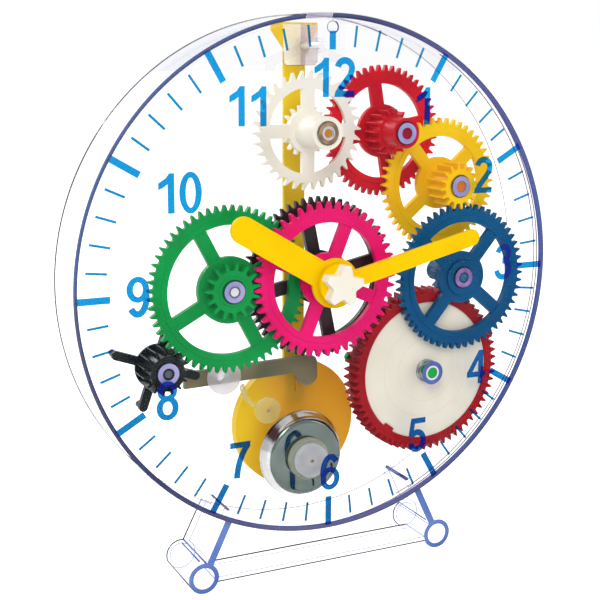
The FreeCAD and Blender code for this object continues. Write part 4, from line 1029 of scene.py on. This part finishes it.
# ------------------------------------------------------------------ the clear case
@dataclass
class ClearCase:
    """Clear cover, wall, back, bridge and stand, with the tint that gathers in their edges."""

    shop: Workshop
    radius: float = 118.0
    depth: float = 30.3
    band_inner: float = 115.6
    band_outer: float = 117.6
    band_step: float = 1.3
    band_front: float = -0.02
    band_back: float = 0.1
    gap_left: float = -12.6
    gap_right: float = 0.3
    joint: float = 5.5
    wall_inner: float = 116.0
    hole: Point = (0.0, 111.6)
    hole_radius: float = 2.4
    tube_x: float = 61.6
    tube_z: float = -132.3
    tube_radius: float = 7.2
    tube_bore: float = 5.1
    stand_front: float = 2.0
    stand_back: float = 33.0
    leg_top: Point = (49.5, -107.1)
    leg_width: float = 3.3
    tie_back: float = 20.0
    tie_top: float = -132.6
    tie_low: float = -135.1
    tab: Point = (47.3, -103.6)
    tab_depths: Point = (7.8, 28.0)
    seam_depths: Point = (6.0, 29.0)
    back_inside: float = 28.3
    screen_top: float = 113.4
    screen_low: float = 95.2
    screen_turn: float = 1.6
    anchor_hole: Point = (-0.4, 104.0)
    socket_radius: float = 4.8
    socket_bore: float = 2.7
    wide_bores: dict[str, float] = field(default_factory=lambda: {"escape": 3.1, "barrel": 3.6})
    wide_rings: dict[str, float] = field(default_factory=lambda: {"barrel": 5.7})
    sleeve_radius: float = 5.6
    sleeve_bore: float = 4.9
    sleeve_front: float = 5.85
    sleeve_back: float = 8.0
    sockets: dict[str, Finish] = field(default_factory=lambda: {
        "green": Finish.SOCKET,
        "star": Finish.SOCKET,
        "barrel": Finish.SOCKET_BLUE,
        "blue": Finish.SOCKET_MAUVE,
        "yellow": Finish.SOCKET,
        "red": Finish.SOCKET,
        # The escape socket's tan ring is painted shade of the recess round its arbor.
        "escape": Finish.SOCKET_TAN,
    })
    socket_front: float = 2.05
    socket_back: float = 2.2

    def dress(self) -> None:
        """Gives the clear solids their finishes."""
        self.shop.dress(("front_cover", "cover_skirt", "case_wall"), Finish.CLEAR, None)
        self.shop.dress(("cover_sockets", "back_plate", "anchor_bridge"), Finish.CLEAR,
                        SoftEdges(0.2, 1, 35.0), Finish.CLEAR_EDGE)
        self.shop.dress(("stand",), Finish.CLEAR, SoftEdges(0.3, 1, 35.0), Finish.STAND_EDGE)
        self.shop.dress(("case_posts",), Finish.MILK_FAINT)
        self.shop.dress(("bell_washer",), Finish.MILK_SIDE)
        self.shop.dress(("lever_spring",), Finish.SPRING_MILK)
        self.shop.dress(("bell_cap",), Finish.MILK)
        self.shop.dress(("lever_cap",), Finish.MILK_THIN)

    def build(self) -> None:
        """Makes the tinted edges of the rim, the stand, the screen and the sockets."""
        self.rim_band()
        self.case_lines()
        self.leg_edges()
        self.stand_lines()
        self.screen()
        depths = (self.socket_front, self.socket_back)
        for name, finish in self.sockets.items():
            bore = self.wide_bores.get(name, self.socket_bore)
            outer = self.wide_rings.get(name, self.socket_radius)
            self.ring("socket_ring_" + name, ARBORS[name], bore, outer, *depths, finish, "clear_lid")
            if bore > self.socket_bore:
                self.ring("socket_lip_" + name, ARBORS[name], self.socket_bore, bore, *depths,
                          Finish.END_WHITE, "clear_lid")
        self.sleeve()

    def rim_band(self) -> None:
        """Makes the cone of tint in the cover's corner, pale across the finger notch."""
        left = math.degrees(math.acos(self.gap_left / self.radius))
        right = math.degrees(math.acos(self.gap_right / self.radius))
        inner, outer, front, back = self.band_inner, self.band_outer, self.band_front, self.band_back
        profile = [(outer, front, 0), (inner, self.band_step, 0), (inner, self.band_step + back, 0),
                   (outer, back, 0), (outer, front, 0)]
        self.shop.turned_piece("rim_band", (0, 0), profile, (Finish.BAND,), "case", "clear_lid",
                               240, (left, 360.0 + right))
        self.shop.turned_piece("notch_band", (0, 0), profile, (Finish.NOTCH,), "case", "clear_lid",
                               12, (right + 0.1, left - 0.1))

    def circle(self, centre: Point, radius: float, depth: float, start: float, end: float,
               steps: int) -> list[Spot]:
        """Points of an arc at one depth.

        Args:
            centre: Middle of the arc.
            radius: Its radius.
            depth: Its depth.
            start: Direction of its first point, in degrees.
            end: Direction of its last point.
            steps: Number of runs.

        Returns:
            The points.
        """
        return [(x, depth, z) for x, z in oval(centre, radius, radius, start, end, steps)]

    def case_lines(self) -> None:
        """Makes the thin lines of the case's back edge, joint and hanging hole."""
        edge, back = self.radius, self.depth
        arcs = (
            ("case_back_line", edge - 0.3, back - 0.3, 0.3, Finish.OUTLINE, 68.0, 233.0),
            ("case_back_faint", edge - 0.2, back - 0.2, 0.14, Finish.JOINT, 233.5, 427.5),
            ("case_joint_line", edge - 0.25, self.joint, 0.25, Finish.JOINT, -110.0, 75.0),
            ("case_inner_line", self.wall_inner, self.joint, 0.22, Finish.JOINT, -70.0, 60.0),
        )
        for name, radius, depth, thick, finish, start, end in arcs:
            path = self.circle((0, 0), radius, depth, start, end, 120)
            self.shop.bead(name, path, thick, finish, "case", "clear_case")
        path = self.circle(self.hole, self.hole_radius + 0.15, 0.1, 0, 360, 36)[:-1]
        self.shop.bead("hanging_hole_line", path, 0.16, Finish.JOINT, "case", "clear_lid", closed=True)
        shade = self.circle(self.hole, self.hole_radius + 0.3, 0.1, -52, 60, 14)
        self.shop.bead("hanging_hole_shade", shade, 0.34, Finish.STROKE, "case", "clear_lid")

    def leg_edges(self) -> None:
        """Makes the front edges of the legs and of the foot tubes."""
        front = self.stand_front - 0.07
        for side, word in ((-1, "left"), (1, "right")):
            foot = (side * self.tube_x, self.tube_z)
            top = (side * self.leg_top[0], self.leg_top[1])
            run = math.hypot(top[0] - foot[0], top[1] - foot[1])
            way = ((top[0] - foot[0]) / run, (top[1] - foot[1]) / run)
            reach = self.tube_radius - 0.4
            low = (foot[0] + way[0] * reach, foot[1] + way[1] * reach)
            self.shop.film("leg_edge_" + word, ribbon([low, top], self.leg_width), front,
                           self.stand_front, Finish.LEG, "case", "clear_stand")
            self.ring("foot_ring_" + word, foot, self.tube_bore, self.tube_radius, front - 0.02,
                      self.stand_front, Finish.LEG, "clear_stand")

    def stand_lines(self) -> None:
        """Makes the lines along the edges of the tubes, legs, tie and tabs."""
        inside = self.tube_radius - 0.2
        back = self.stand_back - 0.2
        front = self.stand_front
        left, right = (-self.tube_x, self.tube_z), (self.tube_x, self.tube_z)
        arcs = (("foot_back_left", left, 80, 207), ("foot_back_right", right, 122, 240))
        for name, centre, start, end in arcs:
            self.shop.bead(name, self.circle(centre, inside, back, start, end, 24), 0.32,
                           Finish.OUTLINE, "case", "clear_stand")
        side, crest, seam = (polar(left, inside, way) for way in (205, 80, 96))
        far_crest = polar(right, inside, 120)
        run = math.hypot(self.tube_x - self.leg_top[0], self.leg_top[1] - self.tube_z)
        lean = ((self.tube_x - self.leg_top[0]) / run, (self.tube_z - self.leg_top[1]) / run)
        half = self.leg_width / 2 - 0.2
        head = (-self.leg_top[0] + lean[1] * half, self.leg_top[1] + lean[0] * half)
        tab, far_tab = self.tab, (-self.tab[0], self.tab[1])
        tie_back, tie_top = self.tie_back - 0.2, self.tie_top - 0.2
        tie_front, tie_low = front + 0.2, self.tie_low + 0.2
        tab_front, tab_back = self.tab_depths
        seam_front, seam_back = self.seam_depths
        outline, stroke = Finish.OUTLINE, Finish.STROKE
        lines = (
            ("foot_side_left", side, front, side, back, 0.32, outline),
            ("foot_crest_left", crest, front, crest, back, 0.24, stroke),
            ("foot_seam_left", seam, seam_front, seam, seam_back, 0.4, Finish.LEG),
            ("foot_crest_right", far_crest, 7.0, far_crest, back, 0.3, stroke),
            ("leg_back_left", head, back, crest, back, 0.32, outline),
            ("tie_back_line", (-51.5, tie_top), tie_back, (53.6, tie_top), tie_back, 0.36, outline),
            ("tie_front_line", (-54.8, tie_low), tie_front, (54.8, tie_low), tie_front, 0.3, outline),
            ("tab_edge_right", tab, tab_front, tab, tab_back, 0.8, stroke),
            ("tab_edge_left", far_tab, tab_front, far_tab, tab_back, 0.5, Finish.JOINT),
        )
        for name, (x, z), near, (end_x, end_z), far, radius, finish in lines:
            self.shop.bead(name, ((x, near, z), (end_x, far, end_z)), radius, finish, "case",
                           "clear_stand")

    def screen(self) -> None:
        """Makes the milky screen in the back plate, which veils the rod behind the anchor."""
        top, low, turn = self.screen_top, self.screen_low, self.screen_turn
        front = self.back_inside + 0.1
        hole = oval(self.anchor_hole, 2.0, 2.0, 0, 345, 23)
        plates = (
            ("screen_cream", -10.3, -1.75, turn, 0.0, Finish.SCREEN),
            ("screen_violet", -1.7, 1.1, 0.0, 0.0, Finish.SCREEN_VIOLET),
            ("screen_pink", 1.15, 7.0, 0.0, turn, Finish.SCREEN_PINK),
        )
        for name, start, end, cut, far_cut, finish in plates:
            plate = [(start, top), (start, low + cut), (start + cut, low), (end - far_cut, low),
                     (end, low + far_cut), (end, top)]
            self.shop.film(name, [plate], front, front + 0.2, finish, "case", "clear_case", [hole])
        corner = self.circle((-8.6, low + turn), turn, front, 180, 270, 8)
        path = [(-10.3, front, 101.0), *corner, (0.0, front, low)]
        self.shop.bead("screen_edge", path, 0.14, Finish.JOINT, "case", "clear_case")

    def sleeve(self) -> None:
        """Makes the sleeve between the barrel's socket and the disc."""
        outer, inner = self.sleeve_radius, self.sleeve_bore
        profile = [(outer, self.sleeve_front, 0), (outer, self.sleeve_back, 0),
                   (inner, self.sleeve_back, 0), (inner, self.sleeve_front, 0),
                   (outer, self.sleeve_front, 0)]
        self.shop.turned_piece("barrel_sleeve", ARBORS["barrel"], profile, (Finish.SLEEVE,),
                               "case", "clear_lid", 48)

    def ring(self, name: str, centre: Point, inner: float, outer: float, front: float, back: float,
             finish: Finish, slot: str) -> None:
        """Makes a thin flat ring.

        Args:
            name: Name of the piece.
            centre: Its middle.
            inner: Inner radius.
            outer: Outer radius.
            front: Depth of its front.
            back: Depth of its back.
            finish: Its finish.
            slot: The record's material slot.
        """
        faces = oval_ring(centre, (outer, outer), (inner, inner), 48)
        self.shop.film(name, faces, front, back, finish, "case", slot)


@dataclass
class ArborEnds:
    """Ends of the arbors, as they show in the front sockets: the coloured rings on the steel ends are
    painted reflections and highlights.
    """

    shop: Workshop
    face: float = 2.3
    back: float = 2.45
    # Rings of painted reflections and highlights on each steel arbor end, from the middle out.
    ends: dict[str, tuple[tuple[float, Finish], ...]] = field(default_factory=lambda: {
        "green": ((1.9, Finish.END_WHITE), (2.55, Finish.END_GREY)),
        "star": ((1.7, Finish.END_GREY), (2.55, Finish.BLACK)),
        "blue": ((1.5, Finish.END_TEAL), (2.55, Finish.BLUE)),
        "yellow": ((2.55, Finish.END_ORANGE),),
        "red": ((2.55, Finish.END_RED),),
        "escape": ((2.0, Finish.END_AMBER), (2.6, Finish.END_WHITE)),
    })

    def build(self) -> None:
        """Makes a thin face on the front end of each arbor, in rings from the middle out."""
        for name, rings in self.ends.items():
            inner = 0.0
            for number, (outer, finish) in enumerate(rings):
                if inner:
                    faces = oval_ring(ARBORS[name], (outer, outer), (inner, inner), 32)
                else:
                    faces = [oval(ARBORS[name], outer, outer, 0, 360, 32)[:-1]]
                self.shop.film("arbor_end_%s_%d" % (name, number), faces, self.face, self.back,
                               finish, name + "_train", "arbor_steel")
                inner = outer


# ------------------------------------------------------------------ dial print
@dataclass
class DialPrint:
    """Hour marks, minute marks and numerals printed on the cover's front face."""

    shop: Workshop
    front: float = -0.16
    back: float = -0.08
    stroke: float = 2.9
    minute_inner: float = 103.7
    minute_outer: float = 112.9
    minute_width: float = 1.1
    hour_inner: float = 102.1
    hour_outer: float = 116.0
    hour_width: float = 3.0
    twelve_outer: float = 110.0
    numerals: dict[int, tuple[Point, ...]] = field(default_factory=lambda: {
        1: ((46.5, 77.4),),
        2: ((80.4, 44.8),),
        3: ((93.7, 2.4),),
        4: ((80.1, -48.6),),
        5: ((47.5, -78.6),),
        6: ((0.6, -90.2),),
        7: ((-44.4, -77.8),),
        8: ((-78.1, -46.2),),
        9: ((-90.0, 0.2),),
        10: ((-76.9, 42.9), (-66.2, 42.9)),
        11: ((-44.9, 78.3), (-34.9, 78.2)),
        12: ((-5.2, 90.2), (6.0, 90.2)),
    })

    def build(self) -> None:
        """Makes the marks and the numerals."""
        for hour in range(12):
            outer = self.hour_outer if hour else self.twelve_outer
            self.ink("hour_mark_%d" % (hour or 12),
                     self.bar(30 * hour, self.hour_inner, outer, self.hour_width))
        minutes = [
            face for minute in range(60) if minute % 5
            for face in self.bar(6 * minute, self.minute_inner, self.minute_outer, self.minute_width)
        ]
        self.ink("minute_marks", minutes, Finish.FINE_INK)
        for hour, places in self.numerals.items():
            faces = []
            for digit, (x, z) in zip(str(hour), places):
                faces += [[(x + a, z + b) for a, b in face] for face in self.digit(digit)]
            self.ink("numeral_%d" % hour, faces)

    def bar(self, clockwise: float, inner: float, outer: float, width: float) -> list[Loop]:
        """Faces of a radial mark.

        Args:
            clockwise: Direction in degrees from twelve.
            inner: Radius of its inner end.
            outer: Radius of its outer end.
            width: Its width.

        Returns:
            Its faces.
        """
        way = 90.0 - clockwise
        return ribbon([polar((0, 0), inner, way), polar((0, 0), outer, way)], width)

    def ink(self, name: str, faces: list[Loop], finish: Finish = Finish.INK) -> None:
        """Prints faces on the cover as one piece of this name."""
        self.shop.film(name, faces, self.front, self.back, finish, "case", "clear_lid")

    def digit(self, figure: str) -> list[Loop]:
        """Faces of one figure about its middle, 10 wide and 17 tall.

        Args:
            figure: A figure from 0 to 9.

        Returns:
            Its faces, which may overlap.
        """
        wide = self.stroke
        if figure == "0":
            return oval_ring((0, 0), (5.0, 8.8), (2.2, 6.3), 40)
        if figure == "1":
            return [
                [(3.5, 8.4), (1.2, 8.4), (0.6, 7.3), (0.6, -8.4), (3.5, -8.4)],
                [(1.3, 8.4), (-0.2, 6.4), (-3.5, 4.4), (-3.5, 1.6), (-1.2, 2.6), (1.2, 4.4)],
            ]
        if figure == "2":
            sweep = oval((0.1, 3.95), 3.5, 3.35, 170, -8, 16)
            fall = bow(sweep[-1], (3.5, 0.2), (-1.2, -2.6), (-3.2, -7.0))
            foot = [(-5.0, -8.4), (5.0, -8.4), (5.0, -5.75), (-4.4, -5.75)]
            return ribbon(sweep + fall[1:], wide) + [foot]
        if figure == "3":
            upper = oval((0.0, 4.25), 3.2, 3.1, 172, -96, 18)
            lower = oval((0.0, -3.4), 3.6, 3.95, 98, -172, 20)
            return ribbon(upper, 2.8) + ribbon(lower, 2.8)
        if figure == "4":
            return [
                [(1.3, -8.4), (4.1, -8.4), (4.1, 8.4), (1.3, 8.4)],
                [(-5.1, -4.9), (5.4, -4.9), (5.4, -2.3), (-5.1, -2.3)],
                [(-5.1, -2.5), (-2.1, -2.5), (1.4, 3.6), (2.2, 8.4), (1.5, 8.4)],
            ]
        if figure == "5":
            bowl = oval((0.0, -2.95), 3.6, 4.3, 148, -166, 20)
            return ribbon(bowl, wide) + [
                [(-3.3, 5.7), (4.5, 5.7), (4.5, 8.4), (-3.0, 8.4)],
                [(-3.4, 8.4), (-0.8, 8.4), (-1.9, 1.9), (-2.9, -0.6), (-4.7, -0.3)],
            ]
        if figure == "6":
            bowl = oval_ring((0.15, -3.2), (4.95, 5.55), (2.15, 3.1), 32)
            return bowl + ribbon(oval((0.35, 0.1), 3.85, 7.2, 205, 40, 18), wide)
        if figure == "7":
            fall = bow((3.4, 6.4), (0.4, 2.8), (-1.4, -3.0), (-1.7, -8.4))
            return [[(-4.9, 5.7), (4.9, 5.7), (4.9, 8.4), (-4.9, 8.4)], *ribbon(fall, wide)]
        if figure == "8":
            top = oval_ring((0, 4.35), (4.5, 4.4), (1.9, 2.05), 28)
            return top + oval_ring((0, -3.3), (5.0, 5.45), (2.2, 2.95), 32)
        return [[(-x, -z) for x, z in face] for face in self.digit("6")]


# ------------------------------------------------------------------ wheels, hands and spring
@dataclass
class MotionWork:
    """Hour and minute wheels with their hands and nut."""

    shop: Workshop

    def dress(self) -> None:
        """Gives the pieces their finishes."""
        self.shop.dress(("hour_wheel",), Finish.PINK)
        self.shop.dress(("green_wheel",), Finish.GREEN)
        self.shop.dress(("cannon_pinion",), Finish.BLUE)
        self.shop.dress(("hour_hand", "minute_hand"), Finish.HAND, SoftEdges(0.5, 3))
        self.shop.dress(("hand_nut",), Finish.CREAM, SoftEdges(0.6, 3))
        self.shop.dress(("green_arbor", "centre_arbor", "clutch_washer"), Finish.STEEL)


@dataclass
class GoingTrain:
    """Wheels from the centre wheel up to the escape wheel, on their arbors."""

    shop: Workshop

    def dress(self) -> None:
        """Gives the pieces their finishes."""
        self.shop.dress(("centre_wheel",), Finish.BROWN)
        self.shop.dress(("blue_wheel",), Finish.BLUE)
        self.shop.dress(("yellow_wheel",), Finish.YELLOW)
        self.shop.dress(("red_wheel",), Finish.RED)
        self.shop.dress(("escape_wheel",), Finish.CREAM)
        self.shop.dress(("blue_arbor", "yellow_arbor", "red_arbor", "escape_arbor"), Finish.STEEL)


@dataclass
class SpringBarrel:
    """Barrel with its cover, spring, arbor, ratchet, click and key."""

    shop: Workshop
    grooves: tuple[float, ...] = (15.6, 23.2)
    groove_width: float = 0.3

    def dress(self) -> None:
        """Gives the pieces their finishes."""
        self.shop.dress(("barrel",), Finish.DRUM_RED)
        self.shop.dress(("barrel_cover",), Finish.DISC)
        self.shop.dress(("mainspring",), Finish.SPRING, None)
        self.shop.dress(("winding_arbor", "ratchet_wheel", "winding_key", "click"), Finish.KEY_GREEN)

    def build(self) -> None:
        """Makes the faint turned grooves of the disc on the barrel."""
        front = self.shop.place.front_of("barrel_cover")
        for number, radius in enumerate(self.grooves):
            inner = radius - self.groove_width
            faces = oval_ring(ARBORS["barrel"], (radius, radius), (inner, inner), 72)
            self.shop.film("disc_groove_%d" % number, faces, front - 0.03, front + 0.03,
                           Finish.GROOVE, "barrel_drum", "cream_plastic")


@dataclass
class StrikeWork:
    """Star, lever and bell of the quarter-hour striker."""

    shop: Workshop
    bell: Point = (-1.8, -88.9)
    stop: Point = (-22.3, -62.8)
    face_radius: float = 16.6
    rim_radius: float = 21.4
    front: float = 19.6
    back: float = 27.2
    shell: float = 1.2
    bend: float = 2.6
    post: float = 3.0

    def dress(self) -> None:
        """Gives the pieces their finishes."""
        self.shop.dress(("strike_star",), Finish.BLACK)
        self.shop.dress(("star_arbor",), Finish.STEEL)
        self.shop.dress(("strike_lever",), Finish.GREY, SoftEdges(0.35, 2))

    def build(self) -> None:
        """Makes the plated gong with a smooth bend and a rolled rim; its face is darkened as a painted
        dark reflection.
        """
        profile: list[tuple[float, float, int]] = [(self.post, self.front, 0)]
        profile += [(self.face_radius * t, self.front, 0) for t in (0.4, 0.7, 0.95)]
        for i in range(9):
            angle = math.radians(90 * i / 8)
            profile.append((self.face_radius + self.bend * math.sin(angle),
                            self.front + self.bend * (1 - math.cos(angle)), 0 if i < 5 else 1))
        side, start, end = self.face_radius + self.bend, self.front + self.bend, self.back - 0.5
        slope, fall = self.rim_radius - 0.25 - side, end - start
        profile += [(side + slope * t, start + fall * t, 1) for t in (0.25, 0.5, 0.75, 1.0)]
        profile += [(self.rim_radius, self.back - 0.25, 1), (self.rim_radius - 0.3, self.back, 1),
                    (self.rim_radius - self.shell, self.back - 0.1, 1),
                    (side - self.shell, start + 0.4, 1),
                    (self.face_radius - 0.4, self.front + self.shell, 1),
                    (self.post, self.front + self.shell, 1), (self.post, self.front, 1)]
        gong = self.shop.turned_piece("plated_gong", self.bell, profile,
                                      (Finish.BELL_FACE, Finish.BELL_RIM), "case", "bell_steel")
        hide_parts("bell")
        self.gate_mark("cap_gate_mark", "bell_cap", self.bell, 0.9, "case")
        self.gate_mark("stop_gate_mark", "lever_spring", self.stop, 0.8, "case")

    def gate_mark(self, name: str, node: str, centre: Point, radius: float, body: str) -> None:
        """Makes the small mark that the moulder's gate leaves on a cap.

        Args:
            name: Name of the piece.
            node: The solid that carries it.
            centre: Its middle.
            radius: Its radius.
            body: The body it moves with.
        """
        front = self.shop.place.front_of(node)
        dot = oval(centre, radius, radius * 0.9, 0, 345, 23)
        self.shop.film(name, [dot], front - 0.04, front + 0.04, Finish.DOT, body, "clear_fittings")


@dataclass
class Pendulum:
    """Anchor on its arbor, and the rod and bob behind the case."""

    shop: Workshop

    def dress(self) -> None:
        """Gives the pieces their finishes."""
        self.shop.dress(("anchor",), Finish.MILK_FAINT)
        self.shop.dress(("anchor_arbor",), Finish.PALE_STEEL, None)
        self.shop.dress(("pendulum_rod",), Finish.ROD, SoftEdges(0.3, 2))
        self.shop.dress(("pendulum_bob",), Finish.BOB, SoftEdges(0.3, 2))


# ------------------------------------------------------------------ studio
@dataclass
class Studio:
    """Pale floor, soft lights and the camera."""

    floor_size: float = 60.0
    floor_drop: float = 0.0003
    sky: float = 0.56
    floor_lift: float = 0.72
    lamps: dict[str, tuple[Spot, float]] = field(default_factory=lambda: {
        "key_light": ((-0.8, -1.1, 1.3), 12.0),
        "fill_light": ((1.2, -0.9, 0.6), 4.0),
        "back_light": ((-0.5, 1.2, 0.9), 10.0),
    })
    lamp_size: float = 0.8
    lamp_aim: Spot = (0.0, 0.0, 0.13)
    camera_place: Spot = (-0.23607, -0.47570, 0.23584)
    camera_turn: Spot = (78.527, -0.239, -25.602)
    lens: float = 70.088

    def build(self) -> None:
        """Makes the floor, the world, the lights and the camera."""
        self.world()
        self.floor()
        for name, (place, power) in self.lamps.items():
            self.light(name, place, power)
        self.camera()

    def world(self) -> None:
        """Makes the world: white to look at, and softer as a light."""
        world = bpy.data.worlds.new("studio_white")
        world.use_nodes = True
        nodes = Nodes(world.node_tree)
        path = nodes.node("LightPath").outputs
        seen = nodes.math("MAXIMUM", path["Is Camera Ray"], path["Is Glossy Ray"])
        both = nodes.math("MAXIMUM", seen, path["Is Transmission Ray"])
        strength = nodes.node("MapRange", in_To_Min=self.sky, in_To_Max=1.0, in_0=both)
        light = nodes.node("Background", in_Color=WHITE, in_Strength=strength.outputs[0])
        nodes.node("OutputWorld", in_Surface=light.outputs[0])
        bpy.context.scene.world = world

    def floor(self) -> None:
        """Makes the floor, which shows white and keeps the clock's shadow."""
        shader = Shader("studio_floor")
        paint = shader.node("BsdfDiffuse", in_Color=(0.82, 0.82, 0.82, 1.0))
        path = shader.node("LightPath").outputs
        seen = shader.math("MAXIMUM", path["Is Camera Ray"], path["Is Glossy Ray"])
        lift = shader.node("Emission", in_Color=WHITE,
                           in_Strength=shader.math("MULTIPLY", seen, self.floor_lift))
        both = shader.node("AddShader", in_0=paint.outputs[0], in_1=lift.outputs[0])
        mesh = bpy.data.meshes.new("floor")
        half = self.floor_size / 2
        mesh.from_pydata([(-half, -half, 0), (half, -half, 0), (half, half, 0), (-half, half, 0)],
                         [], [(0, 1, 2, 3)])
        mesh.materials.append(shader.finish(both.outputs[0]))
        floor = placed("floor", mesh)
        floor.location.z = -self.floor_drop

    def light(self, name: str, place: Spot, power: float) -> None:
        """Makes a soft square light that points at the clock.

        Args:
            name: Name of the light.
            place: Where it stands, in metres.
            power: Its power in watts.
        """
        data = bpy.data.lights.new(name, "AREA")
        data.size = self.lamp_size
        data.energy = power
        lamp = placed(name, data)
        lamp.location = place
        aim = Vector(self.lamp_aim) - Vector(place)
        lamp.rotation_euler = aim.to_track_quat("-Z", "Y").to_euler()
        lamp.visible_camera = False

    def camera(self) -> None:
        """Makes the camera."""
        data = bpy.data.cameras.new("camera")
        data.sensor_width = 36.0
        data.lens = self.lens
        data.clip_start = 0.01
        camera = placed("camera", data)
        camera.location = self.camera_place
        camera.rotation_euler = [math.radians(a) for a in self.camera_turn]
        bpy.context.scene.camera = camera


def main(frame: dict) -> None:
    """Dresses the clock and sets up the studio.
    """
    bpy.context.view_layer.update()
    scene = bpy.context.scene
    scene.view_settings.view_transform = "Standard"
    scene.cycles.transparent_max_bounces = 48
    shop = Workshop(nodes=frame["nodes"], place=DialPlace.of_cover())
    case = ClearCase(shop)
    case.dress()
    case.build()
    ArborEnds(shop).build()
    DialPrint(shop).build()
    MotionWork(shop).dress()
    GoingTrain(shop).dress()
    barrel = SpringBarrel(shop)
    barrel.dress()
    barrel.build()
    striker = StrikeWork(shop)
    striker.dress()
    striker.build()
    Pendulum(shop).dress()
    Studio().build()


if __name__ == "__main__":
    logging.basicConfig(level=logging.INFO, format="%(name)s: %(message)s")
    main(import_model())
